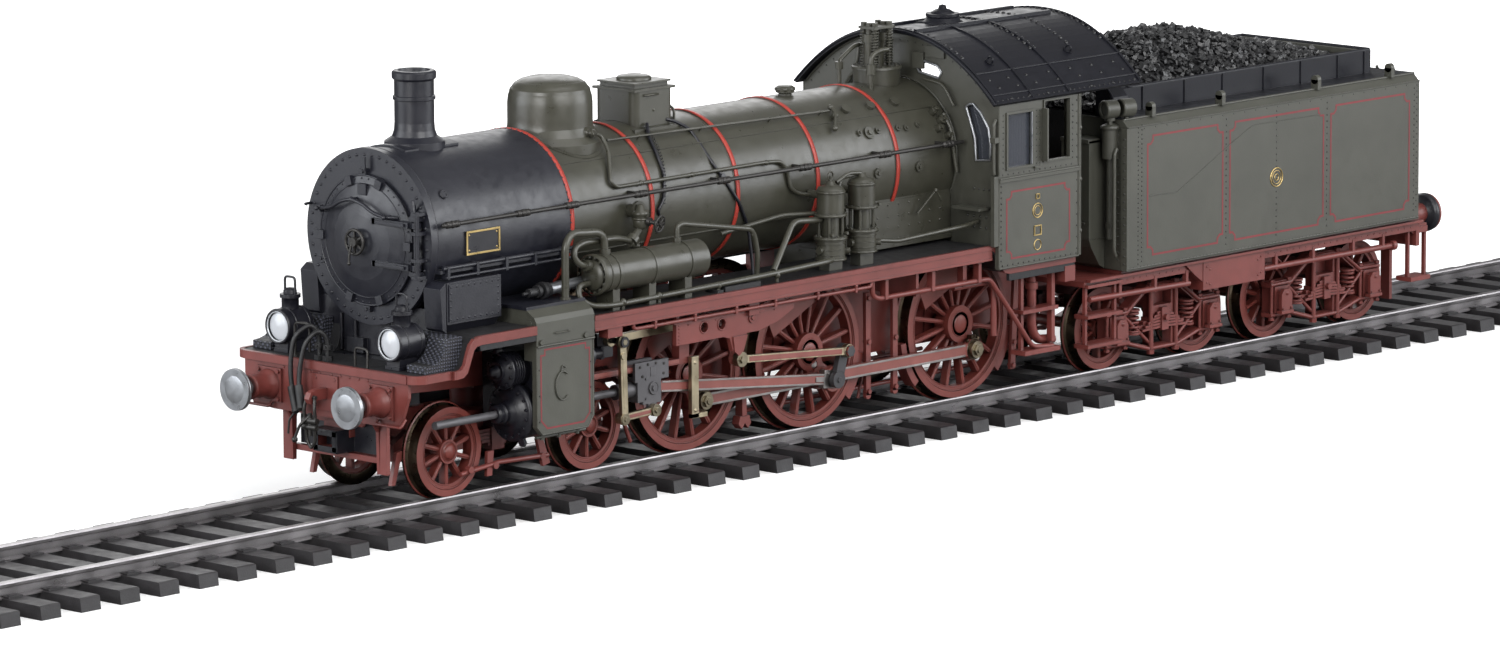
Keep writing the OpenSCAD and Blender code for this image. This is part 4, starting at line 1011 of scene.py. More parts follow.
# Board edges in x and z: ahead of the cylinders, and from there back under the cab.
FRONT_EDGE = [(-157.6, 58.55), (-184.8, 58.55), (-187.9, 57.9), (-190.0, 56.1), (-192.6, 49.4),
              (-194.0, 48.1), (-196.6, 47.85), (-196.6, 45.0), (-193.2, 45.2), (-191.2, 46.6),
              (-188.0, 54.1), (-186.7, 55.1), (-184.4, 55.5), (-157.6, 55.5)]
REAR_EDGE = [(-129.2, 56.9), (-129.2, 58.55), (76, 58.55), (78.8, 57.9), (80.6, 55.4),
             (82.6, 51.8), (84.0, 50.2), (86.4, 49.45), (122.2, 49.45), (122.2, 47.2),
             (86.0, 47.2), (83.2, 47.9), (81.0, 50.4), (79.2, 53.8), (77.6, 56.2), (76, 56.9)]


@piece("engine", FRAME_RED)
def board_edges(part):
    for _ in part.sides():
        part.prism(FRONT_EDGE[::-1], "xz", 44.9, 46.35)
        part.prism(REAR_EDGE[::-1], "xz", 44.9, 46.35)
        part.box((-129.2, 45.6, 53.2), (76.6, 46.25, 54.1))
        part.box((-129.2, 44.6, 53.4), (76.6, 46.08, 57.0))
        part.prism([(-196.7, 45.0), (-196.7, 47.85), (-209.0, 47.85), (-209.0, 45.0)], "xz",
                   43.6, 45.0)
        part.box((-197.4, 44.0, 45.0), (-196.4, 46.3, 47.85))
        # rounded front corner
        for i in range(8):
            a, b = radians(90 + i * 11.25), radians(90 + (i + 1) * 11.25)
            wedge = [(-209 + r * cos(t), 40 + r * sin(t))
                     for r, t in ((5.0, a), (5.0, b), (3.4, b), (3.4, a))]
            part.prism(wedge, "xy", 45.0, 47.85)
        # step bracket under the cab sheet
        part.box((116.5, 40, 40.5), (122.2, 46.2, 46.3))
    part.box((-214.4, -40, 45.0), (-212.6, 40, 47.85))


@piece("engine", FRAME_RED)
def beam_fittings(part):
    y = BUFFER_Y
    for side in part.sides():
        # buffer flange plate, open in the middle
        for y0, y1, z0, z1 in ((-6.0, -3.0, 31.6, 43.4), (3.0, 6.0, 31.6, 43.4),
                               (-3.0, 3.0, 31.6, 34.5), (-3.0, 3.0, 40.5, 43.4)):
            part.box((-214.3, y + side * y0, z0), (-213.3, y + side * y1, z1))
        part.bolts([(-214.3, y + side * dy, BUFFER_Z + dz) for dy in (-4.8, 4.8)
                    for dz in (-4.8, 4.8)], FRONT, 0.75, 0.8)
        part.lathe([(5.3, 0), (5.3, 0.9), (4.6, 1.6), (4.15, 3.2), (4.0, 8.2), (4.3, 8.4),
                    (4.3, 9.3), (3.9, 9.5)], (-214.2, y, BUFFER_Z), FRONT, seg=36)
        part.tube([(-213, y + 11.0, 32.6), (-215.4, y + 11.0, 30.0), (-215.4, y - 1.2, 30.0),
                   (-213, y - 1.2, 32.6)], 0.5, bend=1.0)
        part.rivets([(-213.4, 3 + k * 4.4, 44.0) for k in range(5)], FRONT, 0.4)
        # guard iron
        part.prism([(-213.0, 30.4), (-206.4, 30.4), (-207.6, 26), (-208.0, 11.3), (-209.6, 11.3),
                    (-210.0, 26)][::-1], "xz", 20.6, 22.0)
        part.rivet((-209, 20.6, 28.4), (0, -1, 0), 0.7)
    part.box((-208.0, -22.0, 14.6), (-205.6, 22.0, 16.6))
    part.box((-207.9, -12, 26.2), (-206.5, 12, 29.4))
    part.bolts([(-213.4, y, z) for y in (-4.6, 4.6) for z in (42.4, 33.0)], FRONT, 0.7, 0.7)
    part.box((-213.9, -6.2, 31.4), (-213.2, 6.2, 43.8))


@piece("engine", CYLINDER_BLACK)
def coupler_pocket_lining(part):
    part.box((-214.15, -5.8, 24.3), (-204.9, 5.8, 24.85))
    part.box((-214.15, -5.8, 16.95), (-204.9, 5.8, 17.5))
    for _ in part.sides():
        part.box((-214.15, 5.3, 16.95), (-204.9, 5.85, 24.85))
        part.box((-214.3, 3.5, 17.4), (-213.9, 5.4, 24.4))
    part.box((-214.3, -5.4, 22.7), (-213.9, 5.4, 24.4))
    part.box((-214.3, -5.4, 17.4), (-213.9, 5.4, 19.1))
    part.box((-209.9, -3.7, 18.9), (-209.3, 3.7, 22.9))
    part.box((-206.0, -20.4, 16.9), (-203.8, 20.4, 27.0))


@piece("engine", RUBBER)
def brake_hoses(part):
    part.tube([(-209.4, 7.1, 47.8), (-209.4, 7.1, 56.6), (-212.0, 8.6, 60.2),
               (-216.4, 12.4, 56.2), (-217.6, 13.2, 46), (-217.8, 12.0, 37.0),
               (-218.6, 9.4, 31.6)], 0.85, seg=10, bend=5)
    part.tube([(-209.4, 3.0, 47.8), (-209.4, 3.2, 55.6), (-212.2, 4.6, 58.6), (-216.0, 7.2, 54.6),
               (-217.4, 8.6, 46), (-218.2, 8.4, 38.0), (-219.4, 6.0, 33.2)], 0.85, seg=10, bend=5)
    part.cyl((-217.8, 12.4, 38.8), (-218.9, 8.9, 30.6), 1.45, seg=12)
    part.cyl((-218.2, 8.5, 39.6), (-219.6, 5.6, 32.2), 1.45, seg=12)
    for y in (7.1, 3.0):
        part.nut((-209.4, y, 47.6), (-209.4, y, 49.4), 1.9)
        part.cyl((-209.4, y, 51.6), (-209.4, y, 53.4), 1.7, seg=14)
        part.tube([(-209.4, y, 52.6), (-211.6, y - 0.6, 52.6)], 0.5)


@piece("engine", DARK_METAL)
def coupling_and_handles(part):
    part.tube([(-210.6, 17.9, 47.6), (-210.6, 17.8, 59.4), (-210.6, 10.6, 59.8),
               (-210.6, 10.6, 50.0)], 0.5, bend=1.6)
    part.cyl((-210.6, 17.9, 47.6), (-210.6, 17.9, 48.6), 1.1, seg=12)
    part.tube([(-211, -17.9, 47.6), (-210.6, -17.8, 54.0), (-210.6, -11.6, 54.2),
               (-210.6, -11.6, 47.6)], 0.45, bend=1.6)
    # screw coupling
    for _ in part.sides():
        part.tube([(-220.6, 1.9, 36.9), (-221.4, 2.6, 32.6), (-221.0, 2.6, 28.8)], 0.6, bend=1)
        part.tube([(-221.0, 2.2, 26.6), (-220.6, 2.0, 21.4), (-220.6, 0, 19.4)], 0.6, bend=1.4)
    part.cyl((-220.6, -2.6, 36.9), (-220.6, 2.6, 36.9), 0.7, seg=10)
    part.cyl((-221.0, -3.4, 28.8), (-221.0, 3.4, 28.8), 1.1, seg=12)
    part.cyl((-221.0, -3.2, 26.6), (-221.0, 3.2, 26.6), 1.1, seg=12)
    part.tube([(-221.0, 0, 31.4), (-221.0, 0, 23.6)], 0.75)
    part.tube([(-221.0, 0, 30.6), (-223.4, 2.6, 27.4), (-224.0, 4.6, 22.6)], 0.5, bend=1)
    part.sphere((-224.0, 4.6, 22.2), 1.1)
    # hose ends
    part.sphere((-219.4, 6.2, 32.6), 1.5)
    part.sphere((-218.6, 9.6, 31.2), 1.5)
    part.tube([(-218.6, 9.4, 31.0), (-219.6, 11.8, 27.6), (-219.8, 12.2, 22.8)], 0.4, bend=1)


@per_side("buffer_front_{}", BUFFER_STEEL)
def buffer_face(part, side):
    part.lathe([(0, -0.45), (2.6, -0.38), (5.0, -0.12), (6.8, 0.35), (7.3, 0.75), (7.3, 1.25),
                (6.4, 1.7), (3.6, 2.6), (2.9, 3.6), (2.7, 6.0), (2.62, 9.6)],
               (-230.35, BUFFER_Y, BUFFER_Z), BACK, seg=48)


build_sides(buffer_face)

# ------------------------------------------------------------------ cylinders


@piece("engine", CYLINDER_BLACK)
def cylinder_covers(part):
    y, z = CYLINDER_Y, DRIVER_R
    for side in part.sides():
        # front cover with its bolts and stepped middle
        part.lathe([(0, 0.9), (7.0, 0.9), (7.2, 0.3), (9.4, 0.3), (10.3, -0.2), (10.4, -2.2),
                    (9.6, -2.6)], (-158.1, y, z), FRONT, seg=48)
        part.bolts(circle((-158.4, y, z), 8.7, 16, 0.5, side), FRONT, 0.55, 0.9)
        part.lathe([(1.75, 7.4), (3.0, 7.4), (3.1, 6.6), (3.1, 5.2), (3.7, 5.0), (3.7, 4.0),
                    (3.2, 3.8), (3.2, 2.6), (4.1, 2.4), (4.1, 1.2), (5.0, 0.9)],
                   (-158.1, y, z), FRONT, seg=32)
        # steam chest cover, its beads and the pipe above
        part.lathe([(0, 5.0), (1.4, 5.0), (1.5, 3.0), (2.3, 2.8), (2.4, 1.2), (4.8, 1.0),
                    (5.0, 0), (6.5, 0), (6.6, -1.4), (6.0, -1.6)], (-162.6, y, VALVE_Z), FRONT,
                   seg=36)
        part.bolts(circle((-162.6, y, VALVE_Z), 5.7, 10, 0.5, side), FRONT, 0.55, 0.8)
        for k in range(5):
            part.torus((-161.0 + k * 1.1, y, VALVE_Z), BACK, 6.05, 0.22, 36)
        part.tube([(-161.0, y - 2, 49.5), (-161.0, y - 2, 53.6)], 1.5, seg=12)
        part.cyl((-161.0, y - 2, 48.0), (-161.0, y - 2, 49.6), 2.2, seg=12)
        # drain cocks
        for x in (-152, -135):
            part.cyl((x, y, 18.6), (x, y, 16.4), 0.9, seg=10)
            part.sphere((x, y, 16.0), 0.8)
        part.bolt((-157.9, y + 6.4, z - 9.8), FRONT, 1.6, 1.2)
        # rear cover
        part.lathe([(3.6, 1.2), (7.0, 1.0), (9.3, 0.4), (9.4, -0.6)], (-130.0, y, z), BACK)
        part.bolts(circle((-129.6, y, z), 8.2, 12, 0, side), BACK, 0.5, 0.8)


@piece("engine", CAB_GREEN, slot="casing_green")
def casing_details(part):
    face = 46.0
    for _ in part.sides():
        # rounded top cover with a bead, bolts and a handle
        part.prism([(face, 51.4), (face, 59.4), (45.0, 61.2), (40.2, 64.2), (22, 64.2),
                    (22, 63.6), (40, 63.6), (45.4, 60.0), (45.4, 51.4)], "yz", -157.7, -129.3)
        part.tube([(-157.5, face, 51.2), (-129.5, face, 51.2)], 0.4)
        part.bolts([(-155.6, face, 52.6), (-134.0, face, 52.6)], OUT, 1.0, 0.8)
        part.tube([(-148.6, face, 55.2), (-148.6, 46.9, 55.2), (-142.6, 46.9, 55.2),
                   (-142.6, face, 55.2)], 0.3)
        edge = [(-157.4, 50.9), (-157.4, 23.2), (-154.8, 20.4), (-132.6, 20.4), (-129.7, 24.2),
                (-129.7, 50.9)]
        part.tube([(x, CASING_Y, z) for x, z in edge], 0.32, seg=6)
        # small curved pipe on the side sheet
        turns = [radians(50 + 22 * i) for i in range(13)]
        part.tube([(-145 + 3.4 * cos(t), face, 36.4 + 5.0 * sin(t)) for t in turns], 0.26, seg=6)
        part.tube([(-145.6, face, 41.4), (-145.0, face, 43.4), (-143.4, face, 42.4)], 0.24, seg=6)
        part.cyl((-157.4, 42.6, 59), (-157.9, 42.6, 59), 1.3, seg=12)
        part.rivets([(x, CASING_Y, z) for x in (-156.0, -131.0) for z in (25, 34, 43)], OUT, 0.26)
        # drain pipes
        part.tube([(-155, 42.6, 19.0), (-131, 42.6, 19.0)], 0.6)
        for x in (-152, -144, -135):
            part.cyl((x, 42.6, 18.0), (x, 42.6, 20.4), 0.9, seg=10)


@piece("engine", LINING_RED)
def casing_lining(part):
    """One closed line, notched at its top corners and cut across the bottom ones."""
    notch = 1.9
    cut = notch + 1
    x0, x1, z0, z1 = -155.3, -131.6, 22.4, 49.8
    line = [(x0 + notch, z1), (x1 - notch, z1), (x1 - notch, z1 - notch), (x1, z1 - notch),
            (x1, z0 + cut), (x1 - cut, z0), (x0 + cut, z0), (x0, z0 + cut), (x0, z1 - notch),
            (x0 + notch, z1 - notch)]
    for _ in part.sides():
        part.strip([(x, CASING_Y, z) for x, z in line], 0.62, OUT, lift=0.06)


# ------------------------------------------------------------------ rods and valve gear
# bar(), edge_strips() and disc() take y outwards from the inner face of the wheels.


def bar(part, start, end, depth, height, span):
    """A flat bar from start to end; span is the part of that length it covers."""
    p, q = Vector((start[0], 0, start[1])), Vector((end[0], 0, end[1]))
    d = (q - p).normalized()
    u = Vector((-d.z, 0, d.x))
    length = (q - p).length
    a, c = (p + d * (length * t) for t in span)
    low, high = height
    verts = []
    for y in sorted(part.side * (WHEEL_Y + y) for y in depth):
        verts += [(end_point.x + u.x * h, y, end_point.z + u.z * h)
                  for end_point, h in ((a, low), (c, low), (c, high), (a, high))]
    part.add(verts, BOX_FACES)


def edge_strips(part, start, end, y, height, width, span):
    """Raised strips along both edges of a rod's outer face."""
    for edge in (-1, 1):
        limits = (edge * (height / 2 - width), edge * (height / 2 + 0.06))
        bar(part, start, end, (y, y + 0.14), limits, span)


def disc(part, pin, y0, y1, radius, seg=24):
    part.cyl((pin[0], WHEEL_Y + y0, pin[1]), (pin[0], WHEEL_Y + y1, pin[1]), radius, seg=seg)


def pin_nut(part, pin, y0, y1, radius):
    part.nut((pin[0], WHEEL_Y + y0, pin[1]), (pin[0], WHEEL_Y + y1, pin[1]), radius)


@per_side("side_rod_{}", STEEL)
def side_rod_edges(part, side):
    front, rear = coupled_pins(side)
    middle = crank_pin(side)
    for start, end in ((front, middle), (middle, rear)):
        edge_strips(part, start, end, 9.6, height=4.4, width=0.7, span=(0.06, 0.94))
    for x, z in (front, rear):
        part.torus((x, WHEEL_Y + 9.65, z), OUT, 3.7, 0.25, 32)


@per_side("side_rod_{}", TYRE)
def side_rod_bearings(part, side):
    for x, z in coupled_pins(side):
        y = WHEEL_Y + 8.5
        disc(part, (x, z), 9.5, 9.95, 3.9, seg=28)
        for k in range(3):
            a = radians(50 + k * 40)
            ray = Vector((cos(a), 0, sin(a)))
            foot = Vector((x + 4.1 * cos(a), WHEEL_Y + 8.6, z + 4.1 * sin(a)))
            part.cyl(foot - ray * 0.6, foot + ray * 0.9, 0.8, seg=8)
        part.box((x - 1.2, y - 1.0, z + 3.2), (x + 1.2, y + 1.0, z + 5.2))


@per_side("main_rod_{}", STEEL)
def main_rod_edges(part, side):
    edge_strips(part, wrist_pin(side), crank_pin(side), 14.3, height=3.8, width=0.6,
                span=(0.07, 0.955))


@per_side("main_rod_{}", STEEL)
def big_end_strap(part, side):
    wrist, crank = wrist_pin(side), crank_pin(side)
    bar(part, wrist, crank, (12.0, 14.55), (-3.3, 3.3), (0.945, 1.035))
    bar(part, wrist, crank, (11.9, 14.7), (-0.9, 0.9), (0.90, 0.95))
    part.bolt((crank[0] - 3.0, WHEEL_Y + 14.5, crank[1] + 2.4), OUT, 0.6, 0.5)


@per_side("drivers_2", DARK_GREY)
def return_crank_skin(part, side):
    crank, end = crank_pin(side), return_pin(side)
    bar(part, crank, end, (14.9, 17.08), (-2.1, 2.1), (-0.05, 1.02))
    disc(part, crank, 14.92, 17.14, 3.1, seg=28)
    disc(part, end, 14.92, 17.1, 2.5)
    part.bolt((crank[0], WHEEL_Y + 17.1, crank[1]), OUT, 1.1, 0.5)
    pin_nut(part, end, 19.3, 20.25, 2.1)


@per_side("eccentric_rod_{}", ROD_RED)
def eccentric_rod_flute(part, side):
    bar(part, link_foot(side), return_pin(side), (19.15, 19.28), (-0.9, 0.9), (0.07, 0.93))


@per_side("eccentric_rod_{}", NUT)
def eccentric_rod_eyes(part, side):
    disc(part, link_foot(side), 17.2, 19.6, 2.7, seg=28)
    pin_nut(part, link_foot(side), 19.5, 20.3, 1.4)
    x, z = return_pin(side)
    part.torus((x, WHEEL_Y + 19.2, z), OUT, 2.3, 0.25, 24)


LEVER_TOP = (-109.2, 46.3)


def union_pin(side):
    return (wrist_pin(side)[0] - 0.6, DRIVER_R - 7.6)


def lever_bottom(side):
    return (union_pin(side)[0] - 17.1, 19.0)


@per_side("combination_lever_{}", NICKEL)
def combination_lever_flute(part, side):
    bar(part, LEVER_TOP, lever_bottom(side), (20.15, 20.28), (-0.55, 0.55), (0.24, 0.86))


@per_side("combination_lever_{}", NUT)
def combination_lever_eyes(part, side):
    disc(part, LEVER_TOP, 20.1, 20.6, 2.2)
    pin_nut(part, LEVER_TOP, 20.5, 21.3, 1.1)
    disc(part, lever_bottom(side), 20.1, 20.6, 2.0)
    pin_nut(part, lever_bottom(side), 20.5, 21.1, 1.0)


@per_side("union_link_{}", ROD_RED)
def union_link_flute(part, side):
    bar(part, lever_bottom(side), union_pin(side), (18.35, 18.48), (-0.6, 0.6), (0.15, 0.85))


@per_side("union_link_{}", NUT)
def union_link_eye(part, side):
    disc(part, union_pin(side), 18.3, 19.0, 2.2)
    pin_nut(part, union_pin(side), 18.9, 19.6, 1.1)


@per_side("crosshead_{}", CROSSHEAD_GREY, DARK_METAL)
def crosshead_bolts(part, side):
    x, z = wrist_pin(side)
    y = CYLINDER_Y + 3.4
    for dx, dz in ((-6.6, 8.0), (-2.6, 8.6), (1.4, 8.6), (5.4, 8.0), (-5.4, 4.6), (5.2, 4.6)):
        part.cyl((x + dx, y - 0.1, z + dz), (x + dx, y + 0.25, z + dz), 0.5, seg=12, mat=1)
    part.torus((x, y + 0.35, z), OUT, 2.1, 0.28, 28)
    part.bolt((x, y + 0.35, z), OUT, 1.1, 0.6)
    part.bolts([(x - 3.6, y, z + dz) for dz in (-3.4, 3.6)], OUT, 0.5, 0.4)
    part.box((x - 1.4, y - 0.05, z + 4.2), (x + 1.0, y + 0.16, z + 7.6))


@per_side("engine", FRAME_RED)
def link_trunnion(part, side):
    disc(part, LINK_PIVOT, 21.3, 23.9, 1.9)
    pin_nut(part, LINK_PIVOT, 23.6, 24.3, 1.0)


@per_side("expansion_link_{}", ROD_RED)
def link_edges(part, side):
    foot = link_foot(side)
    for height in ((-2.45, -1.6), (1.6, 2.45)):
        bar(part, LINK_PIVOT, foot, (14.9, 16.95), height, (-0.42, 0.5))
    disc(part, foot, 14.9, 17.0, 2.3)


def crank_pin_caps(side):
    for number, pin in zip((1, 3), coupled_pins(side)):
        part = Part(side)
        disc(part, pin, 9.97, 11.35, 3.15, seg=28)
        pin_nut(part, pin, 11.3, 12.4, 2.3)
        disc(part, pin, 12.3, 12.8, 1.2, seg=16)
        make(f"crank_pin_cap_{SIDE_NAME[side]}_{number}", part, f"drivers_{number}", NUT)


build_sides(side_rod_edges, side_rod_bearings, main_rod_edges, big_end_strap, return_crank_skin,
            eccentric_rod_flute, eccentric_rod_eyes, combination_lever_flute,
            combination_lever_eyes, union_link_flute, union_link_eye, crosshead_bolts,
            link_trunnion, link_edges, crank_pin_caps)

# ------------------------------------------------------------------ wheels
# Each axle is drawn at z = 0 and lifted to its height.


def wheel_treads(body, x, r):
    part = Part()
    for _ in part.sides():
        part.lathe([(r - 2.35, -0.03), (r + 1.42, -0.03), (r + 1.44, 0.55), (r + 1.2, 0.98),
                    (r + 0.14, 1.66), (r + 0.04, 1.8), (r - 0.09, 5.72)], (x, WHEEL_Y, 0), OUT,
                   seg=96)
    part.lift(r)
    make(body + "_treads", part, body, TYRE)


def wheel_hubs(body, x, r, spokes, hub, driver):
    """Beads inside the tyre, the stepped hub, and a rounded rib on each spoke."""
    part = Part()
    for _ in part.sides():
        part.torus((x, WHEEL_Y + 5.35, 0), OUT, r - 2.7, 0.26, 80)
        part.torus((x, WHEEL_Y + 5.2, 0), OUT, r - 4.1, 0.22, 80)
        if driver:
            part.lathe([(0, 0.28), (2.9, 0.28), (3.15, 0.15), (3.3, 0), (4.6, 0), (5.2, -0.6)],
                       (x, WHEEL_Y + 7.0, 0), OUT, seg=36)
            part.torus((x, WHEEL_Y + 7.0, 0), OUT, 4.6, 0.24, 36)
        else:
            part.lathe([(0, 0.9), (2.2, 0.9), (2.5, 0.5), (2.6, 0), (3.4, 0), (3.9, -0.5)],
                       (x, WHEEL_Y + 5.8, 0), OUT, seg=32)
            part.torus((x, WHEEL_Y + 5.75, 0), OUT, 3.3, 0.2, 32)
        inner, outer = hub - 0.4, r - 3.9
        for i in range(spokes):
            a = 2 * pi * (i + 0.5) / spokes
            part.cyl((x + inner * cos(a), WHEEL_Y + 4.35, inner * sin(a)),
                     (x + outer * cos(a), WHEEL_Y + 4.25, outer * sin(a)), 0.62, 0.5, seg=8,
                     caps=False)
    part.lift(r)
    make(body + "_hubs", part, body, WHEEL_RED)


for group, stations in (("drivers", DRIVER_X), ("bogie_wheels", BOGIE_X),
                        ("tender_wheels", TENDER_X)):
    driver = group == "drivers"
    r, spokes, hub = (DRIVER_R, 16, 6.2) if driver else (TRUCK_R, 10, 4.2)
    for number, x in enumerate(stations, 1):
        wheel_treads(f"{group}_{number}", x, r)
        wheel_hubs(f"{group}_{number}", x, r, spokes, hub, driver)

# ------------------------------------------------------------------ brakes, pipes, bogie


def brake_shoe(part, axle_x, start, end, steps=6):
    """A curved block close to a driver's tread, between two angles in degrees."""
    def arc(radius, first, last):
        turns = [radians(first + (last - first) * i / steps) for i in range(steps + 1)]
        return [(axle_x + radius * cos(a), DRIVER_R + radius * sin(a)) for a in turns]

    outline = arc(DRIVER_R + 0.5, start, end) + arc(DRIVER_R + 3.2, end, start)
    part.prism(outline, "xz", 20.4, 25.2)


def brake_rigging(part):
    for x in (31.0, 45.4):
        part.prism([(x - 1.3, 45), (x + 1.3, 45), (x + 1.2, 7.5), (x - 1.2, 7.5)][::-1], "xz",
                   25.6, 27.0)
        for z in (43, 27, 17.5, 8.9):
            part.cyl((x, 25.0, z), (x, 27.8, z), 0.9, seg=12)
        part.cyl((x, 25.6, 7.5), (x, 27.0, 7.5), 1.4, seg=16)
    brake_shoe(part, 0, -42, -8)
    brake_shoe(part, DRIVER_X[2], 188, 222)
    brake_shoe(part, DRIVER_X[2], -42, -8)
    # leaning hanger behind the last driver
    x = DRIVER_X[2] + 31.2
    part.prism([(x - 1.3, 44), (x + 1.3, 44), (x - 1.0, 7), (x - 3.6, 7)][::-1], "xz", 25.6, 27.0)
    for z in (42, 27, 17, 8.4):
        lean = x - (42 - z) * 0.07
        part.cyl((lean, 25.0, z), (lean, 27.8, z), 0.9, seg=12)
    # forked end between the first and second drivers
    part.prism([(-33.6, 8), (-28.9, 8), (-28.0, 5.2), (-29.6, 3.4), (-31.2, 5.4), (-32.8, 3.4),
                (-34.4, 5.2)], "xz", 21.0, 24.4)
    part.prism([(-32.6, 7.8), (-30.2, 7.8), (-30.4, 22), (-32.4, 22)], "xz", 21.0, 24.4)
    part.tube([(-28, 18.6, 8.4), (110, 18.6, 9.4)], 0.8)
    # sand pipes
    part.tube([(-92.6, 23.6, 40), (-93.4, 23.6, 26), (-92.4, 23.6, 14), (-89.0, 23.6, 6.4)],
              0.75, bend=3)
    part.tube([(33.8, 22.4, 44), (34.2, 22.4, 20), (30.2, 22.4, 6.0)], 0.6, bend=3)


def axle_guides(part):
    for x in DRIVER_X:
        part.prism([(x - 8, 20.6), (x - 5, 20.6), (x - 4.2, 34.5), (x + 4.2, 34.5),
                    (x + 5, 20.6), (x + 8, 20.6), (x + 7, 38.5), (x - 7, 38.5)][::-1], "xz",
                   15.5, 16.3)
        part.rivets([(x + e * 6.4, 16.3, z) for e in (-1, 1) for z in (24, 28, 32, 36.6)],
                    OUT, 0.4)


def board_pipes(part):
    """Pipes hung below the running board and the cab."""
    y = 45.3
    part.tube([(-109.5, y, 56.4), (-109.5, y, 51.4), (12.5, y, 51.4), (12.5, y, 55.6)], 0.72,
              bend=1.6)
    for x in (-99, -79, -58, -38, -16, 4):
        part.box((x - 0.55, 44.6, 50.4), (x + 0.55, 46.2, 54.0))
        part.rivet((x, 46.2, 52.6), OUT, 0.36)
    part.tube([(15.6, 43.0, 56.6), (15.6, 43.0, 47.6), (18.6, 43.0, 46.0), (78.5, 43.0, 46.0),
               (90, 42.6, 33.0), (102.6, 42.6, 17.8), (114, 42.6, 16.8)], 0.95, bend=2.4, seg=10)
    for x in (22, 47, 72):
        part.box((x - 0.8, 41.6, 45.4), (x + 0.8, 44.3, 56.6))
        part.box((x - 1.8, 41.6, 52.6), (x + 1.8, 44.6, 56.6))
    y = 39.0
    part.tube([(104.0, y, 45.2), (106.2, y, 42.0), (106.2, y, 24), (108.8, y, 19.4),
               (118, y, 18.6)], 1.7, bend=3, seg=14)
    part.cyl((106.2, y, 41), (106.2, y, 38.6), 2.3, seg=16)
    part.cyl((102.6, y, 44.2), (104.8, y, 45.6), 2.4, seg=16)
    part.box((112.8, 40.6, 18.6), (114.6, 43, 46.4))
    # small box with three studs, behind the cylinders
    part.box((-122.6, 41.5, 49.8), (-115.4, 45.9, 53.2))
    for x in (-121, -119, -117):
        part.cyl((x, 43.7, 53.2), (x, 43.7, 54.6), 0.6, seg=8)


def motion_bracket(part):
    """Rims, reversing arm and rivets on the outer face of the bracket."""
    for x in (-72, -63):
        part.torus((x, 43.45, 47.1), OUT, 2.05, 0.3, 24)
    part.prism([(-45.6, 51.4), (-30.2, 55.2), (-29.2, 53.9), (-29.2, 52.4),
                (-44.4, 48.9)][::-1], "xz", 43.5, 44.5)
    part.cyl((-30.9, 43.2, 53.6), (-30.9, 44.9, 53.6), 1.3, seg=16)
    part.cyl((-38.2, 43.2, 51.7), (-38.2, 44.8, 51.7), 0.7, seg=12)
    part.box((-50.2, 43.3, 48.6), (-45.0, 44.7, 53.4))
    part.rivets([(-84.6, 43.4, 43.2 + k * 1.2) for k in range(6)], OUT, 0.28)
    part.rivets([(x, 43.4, 49.0) for x in (-80, -66, -50, -36)], OUT, 0.3)
    part.prism([(-57.6, 41.9), (-50.2, 41.9), (-52.2, 36.6), (-54.6, 34.8),
                (-56.8, 36.6)][::-1], "xz", 43.35, 43.9)


@piece("engine", FRAME_RED)
def brake_and_pipe_gear(part):
    for _ in part.sides():
        brake_rigging(part)
        axle_guides(part)
        board_pipes(part)
        motion_bracket(part)


@piece("engine", ROD_RED)
def slide_bar_faces(part):
    for _ in part.sides():
        part.box((-128.0, CYLINDER_Y + 1.95, 34.2), (-76.4, CYLINDER_Y + 2.15, 35.5))


@piece("engine", NICKEL)
def stirrup_skin(part):
    inner, outer = CYLINDER_Y + 2.3, CYLINDER_Y + 3.95
    for _ in part.sides():
        part.box((-71.75, inner, 14.0), (-68.25, outer, 35.8))
        part.box((-71.75, inner, 13.85), (-63.9, outer, 15.45))
        part.rivets([(-70, outer, z) for z in (16.6, 33.6)], OUT, 0.5)


@piece("bogie_frame", FRAME_RED)
def bogie_springs(part):
    for _ in part.sides():
        for x in BOGIE_X:
            part.box((x - 5.2, 11.5, 8.4), (x + 5.2, 13.6, 22.2))
            part.rivets([(x + dx, 13.6, z) for dx in (-4.2, 4.2) for z in (9.4, 21.0)], OUT, 0.5)
        for i in range(5):
            part.box((-163 + i * 3.2, 11.5, 17.2 - i * 1.25),
                     (-129 - i * 3.2, 14.6, 18.3 - i * 1.25))
        part.box((-149, 11.5, 10.6), (-143, 15.2, 19.8))
        # life guard ahead of the front wheel, then the rods between the wheels
        part.prism([(-199.8, 17), (-192, 18.6), (-192, 15.4), (-198, 14.4), (-200.6, 6.0),
                    (-202.4, 6.0)], "xz", 18.5, 20.2)
        part.tube([(-176, 26.8, 7.2), (-158, 27.4, 9.2), (-134, 27.4, 8.4)], 0.9)
        for x in (-172, -160, -137):
            part.cyl((x, 26.2, 8.4), (x, 28.4, 8.4), 1.3, seg=12)
        part.prism([(-139.4, 14.8), (-136.4, 14.8), (-133.0, 5.6), (-136.4, 4.8)], "xz", 26.2,
                   27.6)
        part.prism([(-163.8, 5.0), (-161.4, 5.0), (-160.4, 13.6), (-163.4, 13.6)], "xz", 26.2,
                   27.6)


# ------------------------------------------------------------------ boiler

BAND_X = (-122.4, -81.7, -38.2, 3.4, 45.8)  # front edge of each band
SEAMS = ((-120, -82.4), (-79.4, -38.8), (-36.2, 2.8), (5.4, 45.2), (47.8, 77.5))


